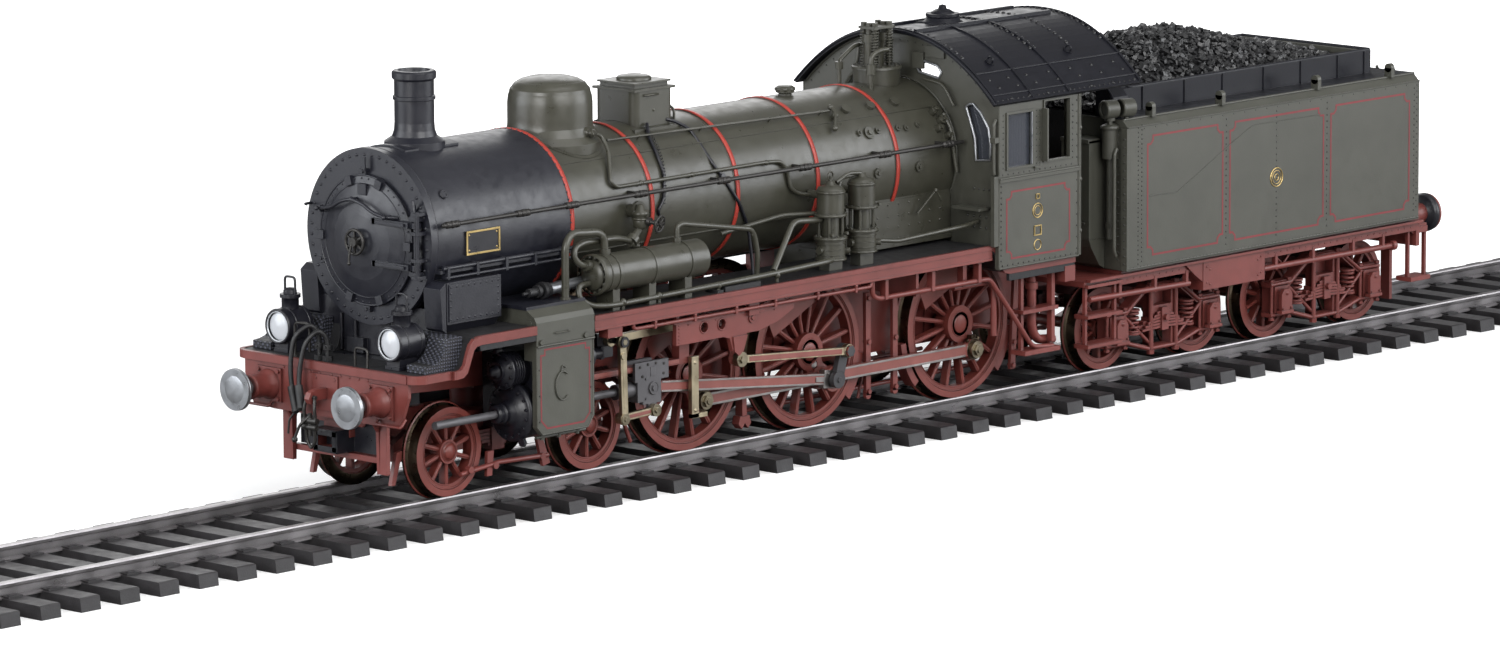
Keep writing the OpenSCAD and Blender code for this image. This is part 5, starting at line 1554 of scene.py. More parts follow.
@piece("engine", BAND_RED)
def boiler_bands(part):
    for x in BAND_X:
        extra = 0.35 if x < -120 else 0
        outer, width = 27.63 + extra, 1.68 + extra
        part.lathe([(27.3, -0.08), (outer, -0.08), (outer, width), (27.3, width)],
                   (x, 0, BOILER_Z), BACK, seg=120, closed=True)
    part.lathe([(29.7, -0.2), (30.12, -0.2), (30.12, 1.5), (29.7, 1.5)], (-124.0, 0, BOILER_Z),
               BACK, seg=140, closed=True)


def seam(part, x0, x1, degrees, height, width=0.8):
    """A low ridge along the barrel, narrower at its top."""
    p = part.true(barrel_point(0, degrees))
    normal = barrel_normal(p)
    across = Vector((1, 0, 0)).cross(normal)
    half, crest = width / 2, width / 2 * 0.7
    verts = []
    for x in (x0, x1):
        for a, c in ((-half, -0.2), (half, -0.2), (crest, height), (-crest, height)):
            q = p + across * a + normal * c
            verts.append((x, q.y, q.z))
    part.add(verts, BOX_FACES[2:] + BOX_FACES[:2])


def barrel_plug(part, x, degrees, radius, foot, top):
    """A round boss on the barrel; returns its seat and the way out."""
    p = Vector(barrel_point(x, degrees))
    normal = barrel_normal(p)
    part.cyl(p - normal * foot, p + normal * top, radius, seg=20 if foot == 0.3 else 16)
    return p, normal


def regulator_rods(part):
    start, sweep = 33.9, 4.7
    part.tube(barrel_path((-91.8, start, 28.7), (20.4, 38.6, 28.7)), 0.42)
    for x in (-76, -45, -10, 16):
        degrees = start + (x + 91.8) / 112 * sweep
        part.cyl(barrel_point(x, degrees, 26.9), barrel_point(x, degrees, 28.7), 0.35, seg=8)
        part.sphere(barrel_point(x, degrees, 28.7), 0.7)
    part.tube(barrel_path((22.3, 36.0, 29.2), (21.0, 44, 29.6), (17.4, 54.2, 28.6)), 0.65)
    for x, degrees, r in ((22.3, 36.0, 1.2), (21.2, 44, 1.3), (17.4, 54.2, 1.2)):
        part.sphere(barrel_point(x, degrees, 28.9), r)
    part.cyl(barrel_point(21.4, 43, 26.8), barrel_point(21.4, 43, 28.8), 1.0, seg=12)


def washout_plugs(part):
    # x, degrees from the top, radius
    for x, degrees, r in ((30.2, 59.6, 1.2), (35.0, 60.7, 2.3), (39.8, 60.1, 1.2),
                          (50.5, 60.5, 1.2), (54.6, 61.5, 1.2), (61.0, 60.0, 1.2),
                          (36, 92, 1.9), (58, 92, 1.9)):
        p, normal = barrel_plug(part, x, degrees, r, 0.3, 0.7)
        part.nut(p + normal * 0.6, p + normal * 1.3, r * 0.45)


def dome_valve(part):
    """The valve on the side of the dome and the pipe from it to the pump."""
    seat = Vector((-100.4, 15.6, 116.2))
    out = Vector((0.35, 0.9, -0.1)).normalized()
    part.cyl(seat - out * 2.0, seat + out * 0.4, 1.9)
    part.cyl(seat + out * 0.4, seat + out * 2.6, 1.3, seg=16)
    part.nut(seat + out * 1.4, seat + out * 2.0, 1.7)
    path = [seat + out * 2.4] + barrel_path(
        (-95.6, 33.2, 31.0), (-95.6, 43.2, 29.6), (-100.2, 66.4, 28.2), (-98.1, 71.2, 28.2),
        (-22.4, 70.6, 28.2), (-14.7, 71.6, 28.2), (-12.1, 77.5, 28.2), (-11.2, 91.8, 28.2),
        (-7.7, 96.5, 28.4), (-2.0, 98.5, 29.6))
    part.tube(path, 0.72, seg=10, bend=2.2)
    for x in (-86, -60, -22):
        part.cyl(barrel_point(x, 71.0, 26.8), barrel_point(x, 71.0, 28.2), 0.5, seg=8)
        part.sphere(barrel_point(x, 71.0, 28.2), 1.0)


@piece("engine", BOILER_GREEN)
def boiler_pipes(part):
    for x in BAND_X:
        for edge in (x - 0.28, x + 1.88):
            part.torus((edge, 0, BOILER_Z), BACK, BARREL_R + 0.02, 0.22, 110, 5)
    for degrees, height in ((46.6, 0.3), (117, 0.35)):
        for _ in part.sides():
            for x0, x1 in SEAMS:
                seam(part, x0, x1, degrees, height)
    for _ in part.sides():
        regulator_rods(part)
        washout_plugs(part)
    for _ in part.sides():
        dome_valve(part)


@piece("engine", CYLINDER_BLACK)
def sand_pipes(part):
    for _ in part.sides():
        # front pipe with wire wound round it
        part.tube(barrel_path((-66.0, 22, 28.4), (-70.9, 34.6, 28.1), (-72.9, 51.4, 28.0),
                              (-73.2, 66.6, 28.0), (-75.6, 84.8, 28.0), (-78.6, 93, 27.8),
                              (-77.0, 97, 26.9)), 0.62, bend=2)
        for i in range(26):
            t = i / 25
            degrees, x = 26 + 62 * t, -68.6 - 7.2 * t
            here = Vector(barrel_point(x, degrees, 28.0))
            ahead = Vector(barrel_point(x - 0.2, degrees + 3, 28.0))
            part.torus(here, part.true(ahead - here), 0.62, 0.14, 10, 4)
        path = barrel_path((-55.6, 20, 28.6), (-52.7, 24.5, 28.4), (-49.5, 33.4, 28.0),
                           (-47.6, 67.8, 28.0), (-38.0, 95, 28.2), (-30.1, 116.3, 28.0))
        path += [(-28.6, 25.4, 66), (-28.6, 26.2, 58.6)]
        part.tube(path, 0.6, bend=2.5)
        part.cyl(barrel_point(-45.0, 76, 26.8), barrel_point(-45.0, 76, 28.6), 1.2, seg=12)


@piece("engine", BOILER_GREEN)
def dome_casing(part):
    """Smooth dome whose flared skirt follows the barrel."""
    seg, dome_x, wall_r, flare, wall_z = 96, -103.7, 14.95, 4.4, 121.0
    turns = [2 * pi * i / seg for i in range(seg)]
    crown = [(0.0, 135.25), (4.0, 135.2), (7.6, 134.9), (10.4, 134.1), (12.5, 132.8),
             (13.9, 130.9), (14.7, 128.4), (wall_r, 126.0)]
    verts = [(dome_x + r * cos(a), r * sin(a), z) for r, z in crown for a in turns]
    skirt_rows = 11
    for k in range(skirt_rows):
        t = k / 10
        r = wall_r + flare * t**3
        drop = 1 - (1 - t) ** 1.6
        for a in turns:
            foot_z = BOILER_Z + sqrt(27.25**2 - ((wall_r + flare) * sin(a)) ** 2)
            z = wall_z + (foot_z - wall_z) * drop
            verts.append((dome_x + r * cos(a), r * sin(a), z))
    faces = []
    for k in range(len(crown) + skirt_rows - 1):
        for i in range(seg):
            j = (i + 1) % seg
            faces.append((k * seg + i, (k + 1) * seg + i, (k + 1) * seg + j, k * seg + j))
    part.add(verts, faces, True)


@piece("engine", BOILER_GREEN)
def dome_and_sandbox_trim(part):
    for _ in part.sides():
        part.box((-74.4, 11.8, 111.6), (-48.8, 12.8, 113.6))
        part.tube([(-66.6, 10.2, 125.2), (-66.6, 10.9, 125.2), (-60.6, 10.9, 125.2),
                   (-60.6, 10.2, 125.2)], 0.4)
        part.rivet((-62, 10.0, 119.6), OUT, 0.5)
    # sandbox lid
    part.box((-72.0, -10.4, 126.6), (-51.2, 10.4, 127.5))
    part.box((-70.8, -9.2, 128.9), (-52.4, 9.2, 129.6))
    part.lathe([(6.2, 0), (6.2, 0.9), (5.6, 1.5), (3.6, 1.9), (0, 2.0)], (-61.6, 0, 129.4))
    # sanding levers at the rear
    part.cyl((-51.8, -6, 114.2), (-49.2, -6, 114.2), 1.6, seg=14)
    part.tube([(-50.2, -8.6, 112.6), (-50.2, -8.6, 118.6), (-50.2, -4.0, 120.6),
               (-50.2, -2.0, 118)], 0.5, bend=1.6)
    part.cyl((-50.4, 4, 115), (-49, 4, 115), 1.4, seg=14)
    # knob ahead of the safety valves
    faces = len(part.faces)
    part.lathe([(2.4, 0), (2.4, 0.8), (3.4, 1.2), (3.5, 3.0), (2.6, 3.6), (0, 3.8)],
               (16.4, 0, 115.6), seg=14)
    part.smooth[faces:] = [False] * (len(part.faces) - faces)
    for point in circle((16.4, 0, 118.0), 3.1, 8, plane="xy"):
        part.sphere(point, 0.75, seg=8, rows=6)


def spring_post(part, x, y):
    part.cyl((x, y, 121.4), (x, y, 136.8), 0.7, seg=10)
    part.cyl((x, y, 136.2), (x, y, 137.6), 1.15, seg=12)
    part.tube([(x + 1.25 * cos(t * 0.7), y + 1.25 * sin(t * 0.7), 122 + t * 0.115)
               for t in range(118)], 0.3, seg=6)


@piece("engine", BOILER_GREEN)
def safety_valve_springs(part):
    for y in (-2.7, 2.7):
        for x in (61.4, 69.0):
            spring_post(part, x, y)
    part.box((59.8, -4.0, 135.2), (70.6, 4.0, 136.2))
    part.cyl((65.2, 0, 121.4), (65.2, 0, 126), 2.6, seg=18)
    part.lathe([(9.2, 0), (9.2, 0.8), (8.6, 1.1)], (65.2, 0, 120.6), seg=44)
    part.bolts(circle((65.2, 0, 121.4), 7.4, 12, plane="xy"), UP, 0.5, 0.6)
    # standing pipes beside the valves
    part.tube([(54, -7.5, 113), (54, -7.5, 126.4), (57.4, -8.2, 128.4), (62, -8.4, 128.4)], 0.9,
              bend=2.2, seg=10)
    part.cyl((54, -7.5, 120), (54, -7.5, 123.6), 1.7, seg=14)
    part.tube([(49, 3.5, 115), (49, 3.5, 124.6), (58, 4.5, 129.0), (77, 8, 129)], 0.8, bend=2.2,
              seg=10)
    part.cyl((49, 3.5, 121.5), (49, 3.5, 124.2), 1.5, seg=14)
    for _ in part.sides():
        # injector steam valves against the cab front
        for x, degrees, r in ((71.5, 52, 1.6), (73.4, 60, 1.8), (70.6, 66, 1.4), (74.4, 72, 1.2)):
            p, normal = barrel_plug(part, x, degrees, r, 0.4, 2.2)
            part.cyl(p + normal * 2.0, p + normal * 3.2, r * 0.55, seg=10)
        path = barrel_path((74.6, 56, 29.2), (75.2, 70, 29.4), (75.4, 86, 28.6))
        part.tube(path + [(76.0, 29.4, 84)], 0.7, bend=2)
        part.tube([(76.2, 13, 116.6), (76.2, 22.5, 115.6), (76.4, 27.6, 108.0)], 0.6, bend=3)
        # forked rod at the firebox side
        part.tube([(58.0, 26.5, 70.6), (64.4, 29.6, 78.6)], 0.45)
        part.tube([(64.4, 29.6, 78.6), (67.6, 29.4, 74.6)], 0.4)
        part.sphere((64.4, 29.6, 78.6), 0.9)


@piece("engine", BOILER_GREEN)
def firebox_rivets(part):
    for _ in part.sides():
        part.rivets([(27.5 + i * 5.6, 24.5, 62.4 + j * 4.2) for i in range(9) for j in range(4)],
                    OUT, 0.4)
        part.box((22.4, 24.4, 59.6), (77.8, 25.6, 61.4))


# ------------------------------------------------------------------ feed pumps and heater

HEATER_Y, HEATER_Z, PUMP_Y = -39.2, 71.4, -38


def heater_pipes(part):
    y, z = HEATER_Y, HEATER_Z
    for x, axis in ((-123.2, FRONT), (-69.6, BACK)):
        part.lathe([(0, 1.3), (3.0, 1.1), (5.0, 0.4), (5.3, 0)], (x, y, z), axis, seg=36)
    part.lathe([(7.2, 0), (7.2, 1.2), (6.6, 1.4)], (-122.2, y, z), FRONT, seg=44)
    part.bolts(circle((-123.0, y, z), 6.1, 14), FRONT, 0.5, 0.8)
    part.torus((-119.6, y, z), BACK, 6.65, 0.3, 44)
    # thick pipes at the front
    part.tube([(-136.4, -39, 63.4), (-136.3, -39, 83.0), (-133.4, -39, 87.0), (-120.4, -39, 86.0),
               (-117.2, -39, 84.0), (-116.6, -39, 77.4)], 1.35, seg=14, bend=3)
    part.cyl((-116.7, -39, 79.8), (-116.6, -39, 77.6), 1.9, seg=16)
    part.cyl((-136.4, -39, 64.0), (-136.4, -39, 65.2), 1.9, seg=16)
    part.tube([(-124.0, -38.6, 74.6), (-128.6, -38.6, 75.4), (-131.6, -38.4, 78.4),
               (-130.6, -38, 81.6), (-126, -37.4, 82.8), (-107.0, -35.4, 82.0),
               (-99.0, -33.8, 80.0)], 1.15, seg=12, bend=3)
    part.cyl((-124.2, -38.6, 74.6), (-126.2, -38.6, 75.0), 2.1, seg=16)
    # long pipe low along the board
    part.tube([(-124.0, -38.6, 68.6), (-129.6, -38.8, 68.4), (-130.4, -39.4, 64.4),
               (-126.6, -41.4, 61.2), (-118, -42.8, 60.4), (-40, -42.8, 61.6), (-8, -42.8, 62.6),
               (-3, -41.4, 62.8), (-1.4, -38, 63.4)], 1.05, seg=12, bend=4)
    for x in (-112, -94, -64, -34):
        part.cyl((x, -42.8, 58.4), (x, -42.8, 60.4), 0.7, seg=10)
        part.sphere((x, -42.8, 61.0), 1.35)


def check_valve(part):
    part.cyl((-91.6, -26.6, 89.0), (-91.6, -31.0, 89.0), 2.4)
    part.cyl((-91.6, -30.4, 89.6), (-91.6, -31.4, 89.6), 3.2)
    part.lathe([(1.6, 0), (2.6, 0.6), (2.8, 3.4), (2.2, 4.6), (2.9, 5.0), (2.9, 6.0), (1.6, 6.6),
                (1.2, 8.4), (0, 8.8)], (-92.4, -32.6, 83.2), seg=24)
    part.torus((-92.4, -32.6, 86.8), UP, 2.8, 0.4, 24)
    part.cyl((-92.4, -32.6, 83.8), (-97.6, -33.6, 79.8), 1.3, seg=14)
    part.cyl((-96.4, -33.4, 80.8), (-98.4, -33.8, 79.4), 2.2, seg=18)
    part.cyl((-99.0, -33.8, 79.0), (-95.0, -33.2, 77.4), 1.4, seg=12)


def link_pipes(part):
    """Pipes from the heater to the board, between heater and pumps, and back to the cab."""
    part.tube([(-80.8, -39, 77.6), (-80.8, -39, 83.4), (-78.2, -38.8, 84.0), (-41.0, -37.0, 77.6),
               (-38.6, -36.6, 74.4), (-37.0, -36.4, 68.0), (-36.6, -35.4, 58.6)], 0.95, seg=12,
              bend=2.2)
    part.cyl((-80.8, -39, 77.6), (-80.8, -39, 79.6), 1.5, seg=14)
    part.tube([(-4.6, -36.6, 76.6), (-17.6, -37.0, 77.6), (-20.6, -37.6, 76.6),
               (-35.0, -42.2, 62.6)], 1.1, seg=12, bend=2.2)
    part.tube([(-4.6, -33.6, 78.6), (-18.0, -30.6, 79.2), (-46, -27.0, 75.4)], 0.8, seg=10,
              bend=2.2)
    part.tube([(20.8, -37.6, 66.4), (34, -38.6, 64.6), (70, -39.0, 66.0), (76.5, -39, 67)], 0.8,
              seg=10, bend=2.2)
    part.torus((27.6, -33.0, 69.6), (0.4, -1, 0.1), 2.0, 0.36, 22)
    part.cyl((27.6, -33.0, 69.6), (27.0, -29.5, 69.8), 0.7, seg=10)


def pump(part, x, low, high):
    y = PUMP_Y
    for z, r in ((low + 0.2, 5.6), (low + 7.7, 6.0), (high - 9.0, 5.9), (high - 0.8, 5.3)):
        part.lathe([(r - 0.9, 0), (r, 0.1), (r, 0.9), (r - 0.9, 1.0)], (x, y, z - 0.5), seg=36)
    for bx, by, _ in circle((x, y, 0), 5.3, 10, plane="xy"):
        part.bolts([(bx, by, z + 0.4) for z in (low + 7.8, high - 9.4)], UP, 0.5, 0.7)
    for k in range(3):
        part.torus((x, y, low + 1.9 + k * 1.9), UP, 5.22, 0.2, 36, 5)
    for degrees in (35, 145, 215, 325):
        px, py = x + 4.2 * cos(radians(degrees)), y + 4.2 * sin(radians(degrees))
        part.cyl((px, py, low + 8), (px, py, high - 9), 0.6, seg=8)
    part.lathe([(4.9, 0), (4.4, 0.9), (2.6, 1.5), (1.6, 1.8), (1.5, 3.0), (0, 3.2)],
               (x, y, high), seg=32)
    part.cyl((x - 4.8, y, low + 3.6), (x - 6.4, y, low + 3.6), 1.4, seg=14)
    part.cyl((x + 4.0, -41.2, low + 3.0), (x + 5.2, -42.6, low + 3.0), 1.1, seg=12)


@piece("engine", BOILER_GREEN)
def pump_and_heater_pipes(part):
    heater_pipes(part)
    check_valve(part)
    link_pipes(part)
    front_x, rear_x = -0.8, 15.5
    pump(part, front_x, 62.2, 87.2)
    pump(part, rear_x, 63.2, 88.4)
    part.torus((front_x, PUMP_Y, 92.0), (0.2, -1, 0), 1.6, 0.32, 22)
    part.cyl((front_x, PUMP_Y, 90), (front_x, PUMP_Y, 92.0), 0.5, seg=8)
    part.tube([(2.2, -38, 89.4), (8.4, -38, 92.0), (rear_x, -38, 91.4)], 0.7, bend=2)
    part.tube([(3.5, -37, 84.4), (6.0, -37, 90.6), (11.0, -37, 90.8), (14.6, -37, 91.2)], 0.8,
              bend=1.8)
    part.tube([(front_x, -33.2, 84.6), (front_x, -29.4, 84.8), (front_x, -27.6, 84.8)], 1.4,
              seg=12)
    part.tube([(rear_x, -33.2, 84.6), (rear_x, -29.0, 84.8), (rear_x, -27.0, 84.8)], 1.4, seg=12)
    # grease cups
    for x, z in ((-4.6, 71.5), (3.0, 71.5), (20.2, 80)):
        part.cyl((x, -41.6, z), (x, -42.8, z), 0.6, seg=10)


@piece("engine", DARK_METAL)
def check_valve_wheel(part):
    axis, center = (0.2, -0.95, -0.2), Vector((-90.2, -39.8, 85.4))
    part.torus(center, axis, 2.9, 0.42, 30, 8)
    part.cyl((-92.2, -34.2, 86.4), (-90.0, -40.6, 85.2), 0.85, seg=12)
    u, w, _ = axes(axis)
    for k in range(4):
        a = k * pi / 4
        spoke = u * cos(a) + w * sin(a)
        part.cyl(center - spoke * 2.9, center + spoke * 2.9, 0.3, seg=6)
    part.cyl((-91.4, -36.6, 85.9), (-91.8, -35.4, 86.2), 1.5, seg=14)


@piece("engine", BUFFER_STEEL)
def exhaust_pipe(part):
    for _ in part.sides():
        part.cyl((-139.0, 33.0, 67.6), (-110.0, 33.0, 68.8), 2.0, seg=28)


@piece("engine", BOARD_BLACK)
def board_covers(part):
    # collars and stem on the front end of the exhaust pipe
    for _ in part.sides():
        for x, r in ((-139.6, 2.6), (-141.6, 3.0), (-144.0, 2.2)):
            part.cyl((x - 0.7, 33.0, 67.55), (x + 0.7, 33.0, 67.6), r, seg=24)
        part.cyl((-148.6, 33.0, 67.4), (-139.0, 33.0, 67.6), 1.5, seg=16)
        part.cyl((-151.0, 33.0, 67.3), (-148.6, 33.0, 67.4), 0.6, seg=10)
    # cover plates and rivets on the running board
    for _ in part.sides():
        part.box((-62, 38.4, 58.3), (-44, 44.4, 60.2))
        part.box((-66, 38.4, 58.3), (-63, 44.4, 59.4))
        part.rivets([(-124 + i * 5.9, 44.4, 58.4) for i in range(34)], UP, 0.24)


@piece("engine", DARK_METAL)
def handrail_knobs(part):
    y, z = 32.4, 95.4
    for _ in part.sides():
        for x in (-184, -150, -126, -92, -50, -8, 34, 68):
            for dx in (-2.0, 2.0):
                part.lathe([(0.8, -1.2), (1.25, -0.7), (1.25, 0.7), (0.8, 1.2)], (x + dx, y, z),
                           BACK, seg=16)
            part.sphere((x, y, z), 1.35, seg=14, rows=10)
        part.sphere((-188, y, z), 0.9)


# ------------------------------------------------------------------ cab


def notched(x0, x1, z0, z1, notch):
    """Closed (x, z) outline with a stepped notch at each corner."""
    step = notch * 0.55
    xa, xb, za, zb = x0 + notch, x1 - notch, z0 + notch, z1 - notch
    return [(xa, z1), (xb, z1), (xb, z1 - step), (x1 - step, zb), (x1, zb), (x1, za),
            (x1 - step, za), (xb, z0 + step), (xb, z0), (xa, z0), (xa, z0 + step),
            (x0 + step, za), (x0, za), (x0, zb), (x0 + step, zb), (xa, z1 - step)]


def window_frame(part, x0, x1, z0, z1, width):
    inner, outer = CAB_Y, CAB_Y + 0.5
    part.box((x0 - width, inner, z1), (x1 + width, outer, z1 + width))
    part.box((x0 - width, inner, z0 - width), (x1 + width, outer, z0))
    part.box((x0 - width, inner, z0), (x0, outer, z1))
    part.box((x1, inner, z0), (x1 + width, outer, z1))


def roof_z(y, rise=0.0):
    return 110.6 + rise + 23.2 * (1 - (abs(y) / 49.6) ** 2.2)


def roof_normal(y):
    e = 0.1
    slope = (roof_z(y + e) - roof_z(y - e)) / (2 * e)
    return Vector((0, -slope, 1)).normalized()


def front_sheet_z(y, base):
    return base + 23.4 * (1 - (abs(y) / 48.5) ** 2.2)


def cab_side_rivets(part):
    y = CAB_Y
    part.rivets([(80 + i * 2.9, y, 51.0) for i in range(15)], OUT, 0.32)
    part.rivets([p for i in range(14)
                 for p in ((79.3, y, 52.8 + i * 2.1), (120.9, y, 52.8 + i * 4.2))], OUT, 0.3)
    part.rivets([(x, y, 86.6 + i * 2.15) for i in range(10)
                 for x in (80.4, 98.6, 100.4, 118.6)], OUT, 0.28)
    for i in range(14):
        part.rivet((80.2 + i * 2.9, y, 84.2), OUT, 0.28)
        part.rivet((80.2 + i * 2.9, y, 110.0), OUT, 0.24)


def cab_side_trim(part):
    """Beads, rails and gutter of one side, and the lid on the box ahead of the cab."""
    y = CAB_Y
    part.tube([(78, 48.5, 82.9), (122, 48.5, 82.9)], 0.42)
    part.tube([(78.1, y, 50.2), (78.1, y, 110)], 0.35)
    part.tube([(121.9, y, 50.2), (121.9, y, 110)], 0.45)
    part.tube([(78.1, y, 50.0), (121.9, y, 50.0)], 0.35)
    part.box((97.0, y, 84.8), (100.0, 48.8, 85.6))
    # wind shield beside the open window
    part.box((101.6, y, 87.0), (102.4, 50.6, 106.4))
    # rear column and front rail
    part.tube([(122.9, 47.4, 50.0), (122.9, 47.4, 110)], 0.75)
    for z in (59, 78, 97):
        part.sphere((122.9, 47.4, z), 1.1)
    part.tube([(76.6, 47.0, 84.6), (76.4, 47.0, 86.0), (76.4, 47.0, 103.0), (77.6, 47.0, 104.6)],
              0.62, bend=1)
    part.box((75.6, 45.8, 96.2), (78.2, 48.2, 98.2))
    part.box((75.4, 46.4, 58.4), (78.1, 48.1, 84.0))
    part.box((78, 47.9, 110.2), (122, 48.9, 111.2))
    part.box((71.5, 31, 71.4), (78.0, 44, 72.4))
    for i in range(4):
        part.rivet((77.9, 33 + i * 3, 68.5), FRONT, 0.4)
        part.rivet((77.9, 33 + i * 3, 64.5), FRONT, 0.4)
        part.rivet((77.9, 36 + i * 2.4, 78.5), FRONT, 0.35)


@piece("engine", CAB_GREEN)
def cab_rivets_and_frames(part):
    for _ in part.sides():
        window_frame(part, 82.7, 96.2, 86.5, 105.9, width=0.9)
        window_frame(part, 102.9, 116.5, 87.1, 108.7, width=0.7)
        cab_side_rivets(part)
        cab_side_trim(part)
    # front sheet: flange round the boiler, edge bead, rivets, cover plates and a pipe
    part.torus((78.0, 0, BOILER_Z), BACK, BARREL_R + 0.5, 0.5, 100, 8)
    bead = [-46.6 + 93.2 * i / 48 for i in range(49)]
    part.tube([(77.9, y, front_sheet_z(y, 108.6)) for y in bead], 0.4, seg=6)
    for y in [-44 + 88 * i / 24 for i in range(25)]:
        z = front_sheet_z(y, 106.2)
        if abs(y) > 18 or z > 122:
            part.rivet((78.0, y, z), FRONT, 0.28)
    part.box((77.2, -22, 124.6), (78.1, -13, 128.8))
    part.box((77.0, -12, 120.0), (78.1, -6.6, 126.0))
    part.tube([(77.4, 20, 126), (76.6, 20, 120), (76.6, 23, 114), (76.6, 26, 110)], 0.7, bend=2)


# Front sheet windows, (y, z): the tall one beside the boiler and the slot above it.
TALL_WINDOW = [(32.4, 108), (34.2, 109.2), (36, 109.3), (39.4, 106.4), (43.2, 101), (44.2, 95),
               (44, 89.6), (37.2, 88.8), (36.6, 97), (34.4, 103)]
SLOT_WINDOW = [(8, 121.4), (9.6, 123.4), (18.6, 121.6), (20.4, 119.4), (19, 117.2), (9.6, 118.6)]


@piece("engine", BUFFER_STEEL)
def window_rims(part):
    for _ in part.sides():
        for outline in (TALL_WINDOW, SLOT_WINDOW):
            part.tube([(77.8, y, z) for y, z in outline + outline[:1]], 0.5)
        part.box((95.7, 47.5, 86.5), (96.4, 48.35, 105.9))


@piece("engine", BLIND)
def window_blind(part):
    for _ in part.sides():
        for i in range(9):
            x = 83.0 + i * 1.45
            part.cyl((x, 45.2, 86.6), (x, 45.2, 105.9), 0.9, seg=8)


@piece("engine", LINING_RED)
def cab_lining(part):
    line = notched(82.3, 116.8, 53.2, 77.6, 2.6)
    for _ in part.sides():
        part.strip([(x, CAB_Y, z) for x, z in line], 0.7, OUT, lift=0.07)


@piece("engine", BRASS)
def cab_blank_plates(part):
    y = CAB_Y + 0.05
    # the borders of two small plates: x0, z0, x1, z1
    borders = [(97.2, 60.0, 101.2, 60.4), (97.2, 63.4, 101.2, 63.8), (97.2, 60.4, 97.6, 63.4),
               (100.8, 60.4, 101.2, 63.4), (98.2, 73.4, 100.2, 73.7), (98.2, 75.1, 100.2, 75.4),
               (98.2, 73.7, 98.5, 75.1), (99.9, 73.7, 100.2, 75.1)]
    for _ in part.sides():
        part.torus((99.2, y, 69.2), OUT, 2.9 - 0.3, 0.24, 36)
        part.torus((99.2, y, 69.2), OUT, 2.9 - 1.2, 0.16, 30)
        for x0, z0, x1, z1 in borders:
            part.box((x0, CAB_Y, z0), (x1, CAB_Y + 0.35, z1))
        part.torus((99.2, y, 56.6), OUT, 1.9, 0.2, 28)


@piece("engine", ROOF_BLACK)
def roof_rivets(part):
    for x in (77.4, 96.4, 114.4, 116.6, 134.6, 153.4):
        for i in range(23):
            y = -30.8 + i * 2.8
            part.rivet((x, y, roof_z(y, 0.05)), roof_normal(y), 0.62)
    for _ in part.sides():
        for y in (38.6, 46.8):
            start = Vector((75.0, y, roof_z(y, 0.05)))
            part.tube([start, start + Vector((80.2, 0, 0))], 0.42, seg=6)
        for x in (80, 90, 100, 112, 124, 136, 148):
            for y in (41.5, 44.6, 48.4):
                part.rivet((x + (y - 41) * 0.6, y, roof_z(y, 0.05)), roof_normal(y), 0.5)
        y = 48.7
        part.rivets([(76.5 + i * 2.8, y, roof_z(y, 0.1)) for i in range(28)], roof_normal(y),
                    0.34)
        # lifting eyes
        y = 34.5
        for x in (88.0, 131.0):
            p, normal = Vector((x, y, roof_z(y))), roof_normal(y)
            part.torus(p + normal * 1.0, BACK, 1.2, 0.4, 20)
            part.cyl(p, p + normal * 0.5, 1.8, seg=12)
    part.lathe([(7.4, -0.8), (7.6, 0.4), (6.6, 0.9), (6.2, 2.0), (4.6, 2.8), (4.4, 3.8),
                (3.0, 4.8), (1.6, 5.2), (1.3, 6.4), (0, 6.8)], (101, 0, 133.6))
    # front and rear edge beads
    for x in (74.6, 155.4):
        bead = [-49.4 + 98.8 * i / 60 for i in range(61)]
        part.tube([(x, y, roof_z(y, -0.4)) for y in bead], 0.55)


@piece("engine", BRASS)
def backhead_fittings(part):
    for z, y in ((86, -8), (86, 8), (98, 0), (92, -16), (92, 16)):
        part.cyl((82.0, y, z), (84.2, y, z), 2.2)
        part.torus((84.2, y, z), BACK, 2.2, 0.3, 20)
    part.tube([(82.4, -14, 80), (88, -12, 82), (88, 10, 90)], 0.6)
    part.torus((87, -22, 78), BACK, 3.4, 0.4, 24)


@piece("engine", WOOD)
def cab_floor_boards(part):
    for i in range(13):
        part.box((82.6 + i * 3.0, -46.6, 51.15), (85.4 + i * 3.0, 46.6, 51.5))
    for _ in part.sides():
        part.box((105.6, 29.6, 65.9), (114.4, 42.4, 67.4))


# ------------------------------------------------------------------ tender


def tank_side(part):
    """Rivet lines, plate seam and edge beads of one side."""
    y = TANK_Y
    for z in [42.4 + i * 1.75 for i in range(30)]:
        part.rivets([(156.6, y, z), (158.6, y, z + 0.85)], OUT, 0.26)
    for z in [44 + i * 2.35 for i in range(21)]:
        for x, rise, r in ((206.9, 0, 0.22), (266.0, 0, 0.22), (236.2, 0, 0.2), (318.4, 0, 0.24),
                           (320.0, 1.1, 0.24)):
            part.rivet((x, y, z + rise), OUT, r)
    part.rivets([(152 + i * 2.0, y, 41.2) for i in range(85)], OUT, 0.22)
    part.rivets([(160 + i * 6.4, 46.9, 92.6) for i in range(25)], OUT, 0.24)
    part.tube([(163.0, y, 67.1), (178.6, y, 66.8), (211.9, y, 82.6), (222.5, y, 87.2),
               (262.9, y, 86.9)], 0.16, seg=5)
    for bead_y, z, r in ((46.8, 41.0, 0.5), (44.2, 96.3, 0.5), (y, 93.6, 0.3)):
        part.tube([(151, bead_y, z), (321.4, bead_y, z)], r, seg=6)


